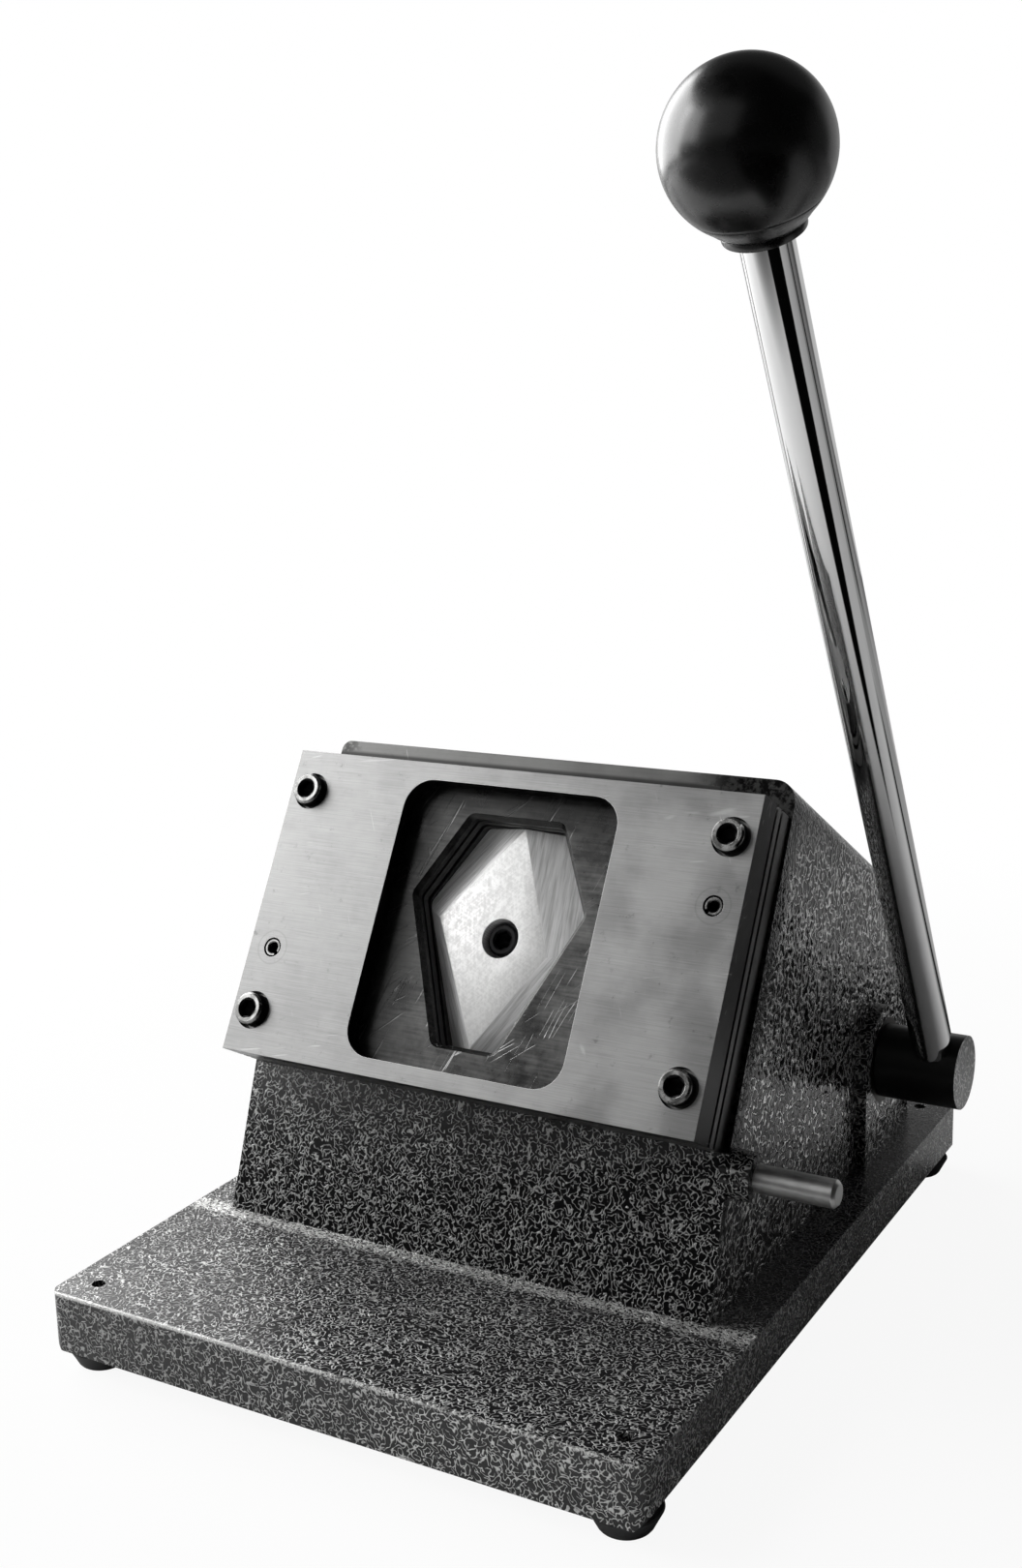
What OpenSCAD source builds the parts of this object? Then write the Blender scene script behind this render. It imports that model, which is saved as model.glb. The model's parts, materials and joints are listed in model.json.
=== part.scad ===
// Lever-operated badge cutter: a slanted die stack on a hammertone housing,
// a hexagonal punch pushed by a cam on the lever shaft, and a base on rubber feet.
// Millimetres, +Z up. The origin is the bottom centre of the whole object.

/* [Base] */
// Width of the base slab
base_w = 190; // [170:1:230]
// Depth of the base slab
base_d = 252; // [245:1:300]
// Thickness of the base slab
base_t = 18; // [14:0.5:20]
// Height of the rubber feet below the slab
foot_h = 6; // [5:0.5:12]
// Distance of each foot from the sides and ends of the slab
foot_inset = 10; // [10:0.5:20]

/* [Die stack] */
// Slant of the plates from the horizontal
tilt = 60; // [58:0.5:62]
// Length of the plates up the slant
plate_l = 97; // [94:1:100]
// Thickness of the die plate
die_t = 10; // [9:0.5:12]
// Height of the slot that takes the printed sheet
slot_h = 1.4; // [1:0.1:2]
// Thickness of the stripper plate
stripper_t = 2.6; // [2:0.1:3]
// Thickness of the shim frame
shim_t = 1.4; // [1:0.1:2]
// Thickness of the guide plate
guide_t = 6.1; // [5.5:0.1:7]

/* [Window and punch] */
// Width of the window pocket in the die plate
window_w = 72.8; // [70:0.2:76]
// Length of the window pocket up the slant
window_l = 86.2; // [82:0.2:88]
// Depth of the window pocket
window_t = 6.5; // [5:0.5:7]
// Corner radius of the window pocket
window_r = 9; // [6:0.5:12]
// Half width of the punch at its widest corners
punch_half_w = 28.3; // [24:0.1:29]
// Half length of the punch
punch_half_l = 34.3; // [30:0.1:35]
// Corner radius of the punch
punch_r = 2; // [1:0.25:4]
// Gap between the punch and the die at rest, to the front of the punch
punch_back = 1.6; // [1.5:0.1:2.5]

/* [Housing] */
// Width of the housing at its foot
housing_w = 163.4; // [160:0.2:170]
// How much narrower the plates are than the housing
plate_step = 5.4; // [4:0.2:8]
// Length of the seat up the slant
seat_l = 108; // [104:1:112]
// Draft of the side walls in degrees
draft = 0.9; // [0:0.1:2]
// Thickness of the side walls
wall = 12; // [9:0.5:14]
// Thickness of the housing floor
floor_t = 9; // [8:0.5:9.5]

/* [Lever] */
// Diameter of the shaft head outside the housing
head_d = 24; // [22:0.5:28]
// Diameter of the shaft in its bushes
shaft_d = 20; // [18:0.5:21]
// Diameter of the lever rod
rod_d = 13; // [12:0.5:14]
// Lean of the lever rod forward from the vertical
lever_lean = 30.6; // [28:0.1:33]
// Distance from the shaft axis to the centre of the knob
lever_l = 313.9; // [250:0.1:340]
// Diameter of the knob
knob_d = 40; // [32:1:45]
// Diameter of the stop pin
stop_d = 8; // [7:0.5:9]

/* [Hidden] */

fit = 0.05;   // running fit of the punch, the ram and the shaft
thread_fit = 0.1;
past = 1;     // how far a cutter runs past a face
$fn = 64;

// The die stack, as depths behind the face of the die plate
plate_w = housing_w - plate_step;
slot_d = die_t;
stripper_d = slot_d + slot_h;
shim_d = stripper_d + stripper_t;
guide_d = shim_d + shim_t;
seat_d = guide_d + guide_t;
shim_inset = 1.6;

// Lower edge of the plate's face, above the base and behind its front edge
plate_y = 64.5;
plate_z = 54.8;
centre_u = plate_l / 2;

// M6 plate screws and spring pins
m6_head_d = 10;
m6_head_h = 6;
m6_d = 6;
m6_proud = 3.2;
m6_key = 5;
hole_play = 0.6;
plate_screw_x = plate_w / 2 - 7.5;
plate_screw_u = plate_l / 2 - 13.1;
plate_screw_end = 38;
cbore_d = 11.6;
roll_d = 6;
roll_bore = 3.4;
roll_slit = 1;
roll_x = plate_w / 2 - 8.5;
roll_u = 15.4;
roll_end = 34;
roll_back = 0.2;

// Punch outline around the punch centre, as corners
punch_corners = [
    [-punch_half_w * 0.54, punch_half_l], [punch_half_w * 0.54, punch_half_l],
    [punch_half_w, punch_half_l * 0.262], [punch_half_w * 0.346, -punch_half_l],
    [-punch_half_w * 0.346, -punch_half_l], [-punch_half_w, punch_half_l * 0.262]
];
punch_front = slot_d + slot_h + punch_back;
punch_end = 38;
rim = 1.5;
// Each bevel of the punch face: a point on its upper edge, its bearing and its slope
bevels = [
    [[0.293 * punch_half_w, 0.443 * punch_half_l], 23.6, 17],
    [[-0.389 * punch_half_w, 0.551 * punch_half_l], 144, 21.5],
    [[0.265 * punch_half_w, -0.539 * punch_half_l], -31.4, 25],
    [[-0.417 * punch_half_w, -0.4315 * punch_half_l], 208.9, 33]
];
punch_cbore_d = 12;
punch_cbore_t = 7.5;
punch_screw_l = 30;
dowel_d = 5;
dowel_u = 15;
dowel_l = 20;

// Ram, crosshead and bush
ram_d = 45;
ram_bush_d = 56;
punch_rest_gap = 0.3;
bush_front = punch_end + punch_rest_gap;
cross_t = 12;
cross_w = 106;
cross_l = 34;
cross_r = 5;
barrel_d = 68;
barrel_end = 86;
pocket_w = 64;
pocket_l = 76;
pocket_r = 8;

// Return springs
spring_x = 43.5;
spring_d = 15;
spring_wire = 2;
spring_turns = 8;
spring_seat_t = 6;
spring_play = 1.5;

// Cam and shaft
shaft_depth = 131.5;
cam_throw = 9.8;
cam_r = 25;
cam_w = 20;
cam_gap = 0.1;
lever_turn = 51;
key_w = 6;
key_l = 18;
key_out = 2.8;
// The crosshead stops just short of the cam
ram_end = shaft_depth + cam_throw * sin(lever_turn / 2) - cam_r - cam_gap - cross_t;
boss_r = 18;
boss_x = housing_w / 2 + 3.3;
bush_l = 23;
inner_boss_x = boss_x - bush_l;
bush_d = 28;
shaft_end_x = boss_x + 26.5;
shoulder_gap = 0.3;
washer_d = 30;
washer_t = 2;
circlip_w = 1.75;
circlip_d = 26;
groove_d = 18.5;
shaft_left_x = -boss_x - shoulder_gap - washer_t - circlip_w - 2.95;

// Lever rod, knob and stop pin
rod_x = boss_x + 17.5;
rod_seat = 10.3;
spigot_d = 10;
spigot_end = -7;
knob_thread_d = 8;
knob_collar_d = 0.5 * knob_d;
knob_collar_l = 2;
knob_flat = 0.45 * knob_d;
knob_neck_l = 0.1 * knob_d;
knob_neck_low = 0.515 * knob_d;
knob_neck_top = 0.705 * knob_d;
insert_d = 14;
insert_l = 22;
grub_d = 6;
grub_key = 3;
grub_sunk = 1;
stop_y = 86.5;
stop_z = 37.3;
stop_boss_d = 14;
stop_boss_x = boss_x + 3;
stop_boss_l = 9;
stop_in_x = boss_x - 25;
stop_chamfer = 1;

// Housing outline behind the front edge of the base and above its top face
front_y = 68;
rear_y = 238;
rear_wall = 8;
top_wall = 10;
cavity_d = 46;
seat_left_r = 3;
seat_right_r = 7;
rib_w = 12;
cover_w = housing_w - 2 * wall - 5.4;
cover_z = [5, 67];
cover_t = 4;
rear_open_w = cover_w - 26;
rear_open_z = [13, 59];
m5_d = 5;
m5_head_d = 9;
m5_head_h = 3;
m5_key = 3;
m5_l = 10;
m5_play = 0.5;
cover_screw_inset = 6;

// Bolts from below and feet
bolt_d = 8;
bolt_head_d = 13;
bolt_head_h = 8;
bolt_cbore_d = 14;
bolt_key = 6;
bolt_l = base_t + 3;
bolt_x = housing_w / 2 - wall - 9.7;
bolt_y = [front_y + 14, rear_y - 16];
bolt_pad_h = 14;
bolt_pad_d = 17.6;
bolt_roof = 2;
foot_top_d = 20;
foot_bottom_d = 14;
foot_recess_d = 8.8;
foot_screw_d = 4;
foot_screw_l = 18;
base_corner_r = 4;
base_chamfer = 3;

// The whole object stands on z = 0 with its bounding box centred on the z axis
overall_x = (rod_x + knob_d / 2 - base_w / 2) / 2;

// A depth d and a height u on the slant as [y, z] behind and above the base's front top edge
function slant(u, d) = [
    plate_y + u * cos(tilt) + d * sin(tilt),
    plate_z + u * sin(tilt) - d * cos(tilt)
];
shaft_yz = slant(centre_u, shaft_depth);
// Where the slanted line at depth d meets height z
function slant_y(d, z) = slant((z - plate_z + d * cos(tilt)) / sin(tilt), d)[0];
// Where the line at height u on the slant meets the upright plane y
function slant_z(u, y) = slant(u, (y - plate_y - u * cos(tilt)) / sin(tilt))[1];

// Corners of a polygon turned into arcs of radius r
function unit(v) = v / norm(v);
function arc_at(a, b, c, r, steps) =
    let (p = unit(a - b), q = unit(c - b), half = acos(p * q) / 2)
    let (middle = b + unit(p + q) * r / sin(half))
    let (from = b + p * r / tan(half) - middle, to = b + q * r / tan(half) - middle)
    let (start = atan2(from[1], from[0]), swing = atan2(to[1], to[0]) - start)
    let (turn = swing > 180 ? swing - 360 : (swing < -180 ? swing + 360 : swing))
    [for (k = [0 : steps]) middle + r * [cos(start + turn * k / steps), sin(start + turn * k / steps)]];
function rounded(points, r, steps = 8) =
    let (n = len(points))
    [for (i = [0 : n - 1])
        each arc_at(points[(i + n - 1) % n], points[i], points[(i + 1) % n], r, steps)];
function box_points(w, l) = [[-w, -l] / 2, [w, -l] / 2, [w, l] / 2, [-w, l] / 2];
function grown(points, d) =
    let (n = len(points))
    [for (i = [0 : n - 1])
        let (p = unit(points[i] - points[(i + n - 1) % n]), q = unit(points[(i + 1) % n] - points[i]))
        let (a = [-p[1], p[0]], b = [-q[1], q[0]])
        points[i] + unit(a + b) * d / cos(acos(min(1, a * b)) / 2)];

// Frames: on the base, on the slant and on the shaft
module on_base() {
    translate([-overall_x, -base_d / 2, foot_h + base_t])
    children();
}
module on_slant(depth = 0) {
    on_base()
    translate([0, plate_y, plate_z])
    rotate([tilt, 0, 0])
    translate([0, centre_u, -depth])
    children();
}
module on_shaft(x = 0) {
    on_base()
    translate([x, shaft_yz[0], shaft_yz[1]])
    rotate([0, 90, 0])
    rotate([0, 0, 90])
    children();
}
module profile(points, w) {
    on_base()
    rotate([90, 0, 90])
    linear_extrude(w, center = true)
    polygon(points);
}
module on_lever() {
    on_base()
    translate([rod_x, shaft_yz[0], shaft_yz[1]])
    rotate([lever_lean, 0, 0])
    children();
}
module at_plate_screws() {
    for (x = [-1, 1], u = [-1, 1]) {
        translate([x * plate_screw_x, u * plate_screw_u, 0])
        children();
    }
}
module at_roll_pins() {
    for (s = [-1, 1]) {
        translate([s * roll_x, s * roll_u, 0])
        rotate([0, 0, s < 0 ? -45 : 225])
        children();
    }
}
module at_feet() {
    for (x = [-1, 1], y = [-1, 1]) {
        translate([x * (base_w / 2 - foot_inset) - overall_x, y * (base_d / 2 - foot_inset), 0])
        children();
    }
}
module at_bolts() {
    for (x = [-1, 1], y = bolt_y) {
        translate([x * bolt_x - overall_x, y - base_d / 2, 0])
        children();
    }
}

// A cutter from the current plane to a depth t behind it
module down(t, d, from = 0) {
    translate([0, 0, -t])
    cylinder(h = t - from, d = d);
}
module hex_hole(across, t) {
    translate([0, 0, -t])
    cylinder(h = t + past, d = across / cos(30), $fn = 6);
}
module punch_shape(margin) {
    polygon(rounded(grown(punch_corners, margin), punch_r + margin));
}

module base_plate() {
    color([0.2, 0.2, 0.21])
    difference() {
        translate([-overall_x, 0, foot_h])
        linear_extrude(base_t)
        polygon(rounded(box_points(base_w, base_d), base_corner_r));
        for (s = [-1, 1]) {
            translate([s * base_w / 2 - overall_x, 0, foot_h])
            rotate([0, 45, 0])
            cube([base_chamfer * sqrt(2), base_d + 2 * past, base_chamfer * sqrt(2)], center = true);
        }
        at_feet()
        cylinder(h = foot_h + base_t + past, d = foot_screw_d);
        at_bolts() {
            cylinder(h = foot_h + bolt_head_h, d = bolt_cbore_d);
            cylinder(h = foot_h + base_t + past, d = bolt_d);
        }
    }
}

module rubber_feet() {
    color([0.08, 0.08, 0.08])
    at_feet()
    difference() {
        cylinder(h = foot_h, d1 = foot_bottom_d, d2 = foot_top_d);
        translate([0, 0, -past])
        cylinder(h = foot_h / 2 + past, d = foot_recess_d);
        cylinder(h = foot_h + past, d = foot_screw_d);
    }
}

module foot_screws() {
    color([0.7, 0.7, 0.72])
    at_feet()
    difference() {
        union() {
            translate([0, 0, foot_h / 2])
            cylinder(h = foot_screw_l, d = foot_screw_d - thread_fit);
            translate([0, 0, foot_h / 2 - 0.6 * foot_screw_d])
            cylinder(h = 0.6 * foot_screw_d, d = 2 * foot_screw_d);
        }
        translate([0, 0, foot_h / 2 - 0.6 * foot_screw_d - past])
        cylinder(h = past + 0.3 * foot_screw_d, d = 0.7 * foot_screw_d, $fn = 6);
    }
}

// Outer form of the casting: its side outline, drafted, with a boss for the shaft and the pin
module housing_outside() {
    seat_low = slant(0, seat_d);
    seat_high = slant(seat_l, seat_d);
    intersection() {
        profile([[front_y, 0], seat_low, seat_high, [rear_y, slant_z(seat_l, rear_y)], [rear_y, 0]], housing_w);
        on_base()
        difference() {
            translate([-housing_w / 2, 0, 0])
            cube([housing_w, rear_y, plate_z + seat_l]);
            for (s = [-1, 1]) {
                translate([s * housing_w / 2, -past, 0])
                rotate([0, -s * draft, 0])
                translate([s < 0 ? -2 * wall : 0, 0, -past])
                cube([2 * wall, rear_y + 2 * past, 2 * seat_l]);
            }
        }
    }
    for (s = [-1, 1]) {
        on_shaft()
        translate([0, 0, s < 0 ? -boss_x : inner_boss_x])
        cylinder(h = boss_x - inner_boss_x, r = boss_r);
        on_base()
        translate([s < 0 ? -boss_x : housing_w / 2 - wall / 2, shaft_yz[0] - boss_r, 0])
        cube([boss_x - housing_w / 2 + wall / 2, 2 * boss_r, shaft_yz[1]]);
    }
    on_base()
    translate([stop_boss_x - stop_boss_l, stop_y, stop_z])
    rotate([0, 90, 0])
    cylinder(h = stop_boss_l, d = stop_boss_d);
}

module housing_cavity() {
    low_front = [slant_y(cavity_d, floor_t), floor_t];
    high_front = slant(seat_l - top_wall, cavity_d);
    high_rear = [rear_y - rear_wall, slant_z(seat_l - top_wall, rear_y - rear_wall)];
    difference() {
        profile([low_front, high_front, high_rear, [rear_y - rear_wall, floor_t]], housing_w - 2 * wall);
        on_slant(barrel_end)
        cylinder(h = barrel_end - cavity_d + past, d = barrel_d);
        profile([
            [slant_y(cavity_d, floor_t) - past, 0], slant(centre_u, cavity_d - past),
            slant(centre_u, barrel_end), [slant_y(barrel_end, 0), 0]
        ], rib_w);
        on_shaft()
        for (x = [-boss_x, inner_boss_x]) {
            translate([0, 0, x])
            cylinder(h = boss_x - inner_boss_x, r = boss_r);
        }
        at_bolts()
        translate([0, 0, foot_h + base_t - past])
        cylinder(h = bolt_pad_h + past, d = bolt_pad_d);
    }
}

// Rounds the long edge between the top and a side wall of the casting
module top_edge_cutter(s) {
    half_w = housing_w / 2 - slant(seat_l, seat_d)[1] * tan(draft);
    r = s < 0 ? seat_left_r : seat_right_r;
    on_slant(seat_d)
    translate([s * half_w, seat_l - centre_u, 0])
    rotate([0, -s * draft / 2, 0])
    translate([-s * r, -r, past - rear_y])
    difference() {
        translate([s < 0 ? -2 * r : 0, 0, 0])
        cube([2 * r, 2 * r, rear_y]);
        cylinder(h = rear_y, r = r);
    }
}

module housing() {
    color([0.22, 0.22, 0.23])
    difference() {
        housing_outside();
        housing_cavity();
        for (s = [-1, 1])
            top_edge_cutter(s);
        on_slant(bush_front)
        linear_extrude(bush_front)
        polygon(rounded(box_points(pocket_w, pocket_l), pocket_r));
        on_slant()
        translate([0, 0, -barrel_end - past])
        cylinder(h = barrel_end - bush_front + 2 * past, d = ram_bush_d);
        on_slant(cavity_d)
        for (s = [-1, 1]) {
            translate([s * spring_x, 0, -past])
            cylinder(h = spring_seat_t + past, d = spring_d + spring_play);
        }
        on_slant() {
            at_plate_screws()
            down(plate_screw_end + m6_d, m6_d);
            at_roll_pins()
            down(roll_end + past, roll_d);
        }
        on_shaft()
        for (x = [-boss_x, inner_boss_x]) {
            translate([0, 0, x - past])
            cylinder(h = boss_x - inner_boss_x + 2 * past, d = bush_d);
        }
        on_base()
        translate([stop_in_x, stop_y, stop_z])
        rotate([0, 90, 0])
        cylinder(h = stop_boss_x, d = stop_d);
        on_base()
        translate([-rear_open_w / 2, rear_y - rear_wall - past, rear_open_z[0]])
        cube([rear_open_w, rear_wall + 2 * past, rear_open_z[1] - rear_open_z[0]]);
        at_cover_screws()
        cylinder(h = 1.5 * m5_l, d = m5_d, center = true);
        at_bolts()
        cylinder(h = foot_h + base_t + bolt_pad_h - bolt_roof, d = bolt_d);
    }
}

module at_cover_screws() {
    on_base()
    for (x = [-1, 1], z = [cover_z[0] + m5_d, cover_z[1] - m5_d]) {
        translate([x * (cover_w / 2 - cover_screw_inset), rear_y, z])
        rotate([-90, 0, 0])
        children();
    }
}

module housing_bolts() {
    color([0.15, 0.15, 0.16])
    at_bolts()
    difference() {
        union() {
            translate([0, 0, foot_h])
            cylinder(h = bolt_head_h, d = bolt_head_d);
            translate([0, 0, foot_h + bolt_head_h - past])
            cylinder(h = bolt_l + past, d = bolt_d - thread_fit);
        }
        translate([0, 0, foot_h - past])
        cylinder(h = bolt_head_h / 2 + past, d = bolt_key / cos(30), $fn = 6);
    }
}

module plate(depth, t, inset = 0) {
    on_slant(depth + t)
    linear_extrude(t)
    square([plate_w - 2 * inset, plate_l - 2 * inset], center = true);
}
module plate_holes(screw_d) {
    on_slant() {
        at_plate_screws()
        down(seat_d + past, screw_d);
        at_roll_pins()
        down(seat_d + past, roll_d);
    }
}
module punch_hole(margin) {
    on_slant(seat_d + past)
    linear_extrude(seat_d + 2 * past)
    punch_shape(margin);
}

module die_plate() {
    color([0.6, 0.6, 0.6])
    difference() {
        plate(0, die_t);
        on_slant(window_t)
        linear_extrude(window_t + past)
        polygon(rounded(box_points(window_w, window_l), window_r));
        punch_hole(2 * fit);
        hull() {
            on_slant(window_t - past)
            linear_extrude(fit)
            punch_shape(rim + past);
            on_slant(window_t + rim + past)
            linear_extrude(fit)
            punch_shape(-past);
        }
        plate_holes(m6_d + hole_play);
        on_slant(m6_head_h - m6_proud)
        at_plate_screws()
        cylinder(h = m6_head_h, d = cbore_d);
    }
}

module slot_spacers() {
    color([0.35, 0.35, 0.36])
    on_slant(stripper_d)
    at_plate_screws()
    difference() {
        cylinder(h = slot_h, d = 2 * m6_d);
        translate([0, 0, -past])
        cylinder(h = slot_h + 2 * past, d = m6_d + hole_play);
    }
}

module stripper_plate() {
    color([0.66, 0.66, 0.66])
    difference() {
        plate(stripper_d, stripper_t);
        punch_hole(4 * fit);
        plate_holes(m6_d + hole_play);
    }
}

module shim_frame() {
    color([0.3, 0.3, 0.3])
    difference() {
        plate(shim_d, shim_t, shim_inset);
        on_slant(guide_d + past)
        linear_extrude(shim_t + 2 * past)
        polygon(rounded(box_points(pocket_w, pocket_l), pocket_r));
        plate_holes(m6_d + hole_play);
    }
}

module guide_plate() {
    color([0.55, 0.55, 0.56])
    difference() {
        plate(guide_d, guide_t);
        punch_hole(fit);
        plate_holes(m6_d + hole_play);
    }
}

module cap_screw(end) {
    difference() {
        union() {
            translate([0, 0, m6_proud - m6_head_h])
            cylinder(h = m6_head_h, d = m6_head_d);
            translate([0, 0, -end])
            cylinder(h = end, d = m6_d - thread_fit);
        }
        translate([0, 0, m6_proud])
        hex_hole(m6_key, m6_head_h / 2);
    }
}

module plate_screws() {
    color([0.12, 0.12, 0.13])
    on_slant()
    at_plate_screws()
    cap_screw(plate_screw_end);
}

module roll_pins() {
    color([0.6, 0.6, 0.62])
    on_slant()
    at_roll_pins()
    difference() {
        translate([0, 0, -roll_end])
        cylinder(h = roll_end - roll_back, d = roll_d);
        translate([0, 0, -roll_end - past])
        cylinder(h = roll_end + 2 * past, d = roll_bore);
        translate([0, -roll_slit / 2, -roll_end - past])
        cube([roll_d, roll_slit, roll_end + 2 * past]);
    }
}

module punch() {
    color([0.5, 0.5, 0.5])
    difference() {
        on_slant(punch_end)
        linear_extrude(punch_end - punch_front)
        punch_shape(0);
        on_slant(punch_front) {
            for (b = bevels) {
                translate([b[0][0], b[0][1], 0])
                rotate([0, 0, b[1]])
                rotate([0, b[2], 0])
                translate([-plate_l / 2, -plate_l, 0])
                cube([plate_l, 2 * plate_l, plate_l]);
            }
            translate([0, 0, -punch_cbore_t])
            cylinder(h = punch_cbore_t + past, d = punch_cbore_d);
            translate([0, 0, -punch_end])
            cylinder(h = punch_end, d = m6_d + hole_play);
        }
        on_slant(punch_end)
        translate([0, dowel_u, -past])
        cylinder(h = dowel_l / 2 + past, d = dowel_d);
    }
}

module punch_screw() {
    color([0.12, 0.12, 0.13])
    on_slant(punch_front + punch_cbore_t - m6_head_h + m6_proud)
    cap_screw(punch_screw_l);
}

module punch_dowel() {
    color([0.7, 0.7, 0.72])
    on_slant(punch_end)
    translate([0, dowel_u, -dowel_l / 2])
    cylinder(h = dowel_l, d = dowel_d);
}

module ram() {
    color([0.6, 0.6, 0.62])
    difference() {
        union() {
            on_slant(ram_end + past)
            cylinder(h = ram_end + past - punch_end, d = ram_d);
            on_slant(ram_end + cross_t)
            linear_extrude(cross_t)
            polygon(rounded(box_points(cross_w, cross_l), cross_r));
        }
        on_slant(punch_end)
        translate([0, dowel_u, -dowel_l / 2])
        cylinder(h = dowel_l, d = dowel_d);
        on_slant()
        down(punch_end + m6_d * 3, m6_d);
    }
}

module ram_bush() {
    color([0.72, 0.55, 0.25])
    on_slant(barrel_end)
    difference() {
        cylinder(h = barrel_end - bush_front, d = ram_bush_d);
        translate([0, 0, -past])
        cylinder(h = barrel_end, d = ram_d + 2 * fit);
    }
}

spring_l = ram_end - cavity_d + spring_seat_t;
// Centre line of the wire, with a flat turn at each end
function spring_rise(t) =
    let (flat = 0.7, climb = (t - flat) / (spring_turns - 2 * flat))
    spring_wire / 2 + (spring_l - spring_wire) * max(0, min(1, climb));
function spring_ring(t, sides) =
    let (r = (spring_d - spring_wire) / 2, a = 360 * t)
    [for (k = [0 : sides - 1])
        let (b = 360 * k / sides, out = r + spring_wire / 2 * cos(b))
        [out * cos(a), out * sin(a), spring_rise(t) + spring_wire / 2 * sin(b)]];
module spring_coil(sides = 8, per_turn = 16) {
    rings = spring_turns * per_turn;
    points = [for (i = [0 : rings]) each spring_ring(i / per_turn, sides)];
    skin = [for (i = [0 : rings - 1], k = [0 : sides - 1])
        let (n = (k + 1) % sides)
        [i * sides + k, i * sides + n, (i + 1) * sides + n, (i + 1) * sides + k]];
    start = [for (k = [sides - 1 : -1 : 0]) k];
    finish = [for (k = [0 : sides - 1]) rings * sides + k];
    polyhedron(points, concat([start], skin, [finish]));
}

module return_springs() {
    color([0.45, 0.45, 0.47])
    on_slant(ram_end)
    for (s = [-1, 1]) {
        translate([s * spring_x, 0, 0])
        spring_coil();
    }
}

module key_block(margin = 0) {
    on_shaft()
    translate([-key_w / 2 - margin, shaft_d / 2 - key_w + key_out, -key_l / 2 - margin])
    cube([key_w + 2 * margin, key_w + margin, key_l + 2 * margin]);
}

module lever_shaft() {
    color([0.18, 0.18, 0.19])
    difference() {
        union() {
            on_shaft(shaft_left_x)
            cylinder(h = boss_x - shaft_left_x + past, d = shaft_d);
            on_shaft(boss_x + shoulder_gap)
            cylinder(h = shaft_end_x - boss_x - shoulder_gap, d = head_d);
        }
        key_block();
        on_shaft(-boss_x - shoulder_gap - washer_t - circlip_w)
        difference() {
            cylinder(h = circlip_w, d = shaft_d + past);
            cylinder(h = circlip_w, d = groove_d);
        }
        on_lever() {
            translate([0, 0, rod_seat])
            cylinder(h = head_d, d = rod_d);
            translate([0, 0, spigot_end])
            cylinder(h = head_d, d = spigot_d);
            rotate([-90, 0, 0])
            cylinder(h = head_d, d = grub_d);
        }
    }
}

module cam() {
    color([0.55, 0.55, 0.57])
    difference() {
        on_shaft(-cam_w / 2)
        rotate([0, 0, tilt - lever_turn / 2])
        translate([cam_throw, 0, 0])
        cylinder(h = cam_w, r = cam_r);
        on_shaft(-cam_w / 2 - past)
        cylinder(h = cam_w + 2 * past, d = shaft_d);
        key_block();
    }
}

module cam_key() {
    color([0.65, 0.65, 0.66])
    key_block();
}

module shaft_bush(x) {
    color([0.72, 0.55, 0.25])
    on_shaft(x)
    difference() {
        cylinder(h = boss_x - inner_boss_x, d = bush_d);
        translate([0, 0, -past])
        cylinder(h = boss_x, d = shaft_d + 2 * fit);
    }
}
module shaft_bush_left() {
    shaft_bush(-boss_x);
}
module shaft_bush_right() {
    shaft_bush(inner_boss_x);
}

module shaft_washer() {
    color([0.65, 0.65, 0.66])
    on_shaft(-boss_x - shoulder_gap - washer_t)
    difference() {
        cylinder(h = washer_t, d = washer_d);
        translate([0, 0, -past])
        cylinder(h = washer_t + 2 * past, d = shaft_d + 2 * fit);
    }
}

module shaft_circlip() {
    color([0.3, 0.3, 0.32])
    on_shaft(-boss_x - shoulder_gap - washer_t - circlip_w)
    difference() {
        cylinder(h = circlip_w, d = circlip_d);
        translate([0, 0, -past])
        cylinder(h = circlip_w + 2 * past, d = groove_d);
        translate([0, -circlip_d / 8, -past])
        cube([circlip_d, circlip_d / 4, circlip_w + 2 * past]);
    }
}

module lever_rod() {
    color([0.85, 0.85, 0.87])
    on_lever() {
        translate([0, 0, rod_seat])
        cylinder(h = lever_l - knob_flat - knob_collar_l - rod_seat, d = rod_d);
        translate([0, 0, spigot_end])
        cylinder(h = rod_seat - spigot_end + past, d = spigot_d - thread_fit);
        translate([0, 0, lever_l - knob_flat - knob_collar_l - past])
        cylinder(h = insert_l + past, d = knob_thread_d - thread_fit);
    }
}

module knob() {
    color([0.05, 0.05, 0.05])
    on_lever()
    translate([0, 0, lever_l])
    difference() {
        union() {
            difference() {
                sphere(d = knob_d, $fn = 96);
                translate([0, 0, -knob_d - knob_flat])
                cylinder(h = knob_d, d = knob_d);
            }
            translate([0, 0, -knob_flat])
            cylinder(h = knob_neck_l, d1 = knob_neck_low, d2 = knob_neck_top);
            translate([0, 0, -knob_flat - knob_collar_l])
            cylinder(h = 2 * knob_collar_l, d = knob_collar_d);
        }
        translate([0, 0, -knob_flat - knob_collar_l - past])
        cylinder(h = insert_l + past, d = insert_d);
    }
}

module knob_insert() {
    color([0.75, 0.6, 0.3])
    on_lever()
    translate([0, 0, lever_l - knob_flat - knob_collar_l])
    difference() {
        cylinder(h = insert_l, d = insert_d);
        translate([0, 0, -past])
        cylinder(h = insert_l + 2 * past, d = knob_thread_d);
    }
}

module lever_set_screw() {
    color([0.12, 0.12, 0.13])
    on_lever()
    rotate([-90, 0, 0])
    difference() {
        translate([0, 0, spigot_d / 2])
        cylinder(h = (head_d - spigot_d) / 2 - grub_sunk, d = grub_d - thread_fit);
        translate([0, 0, head_d / 2 - grub_sunk])
        hex_hole(grub_key, grub_key);
    }
}

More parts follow.
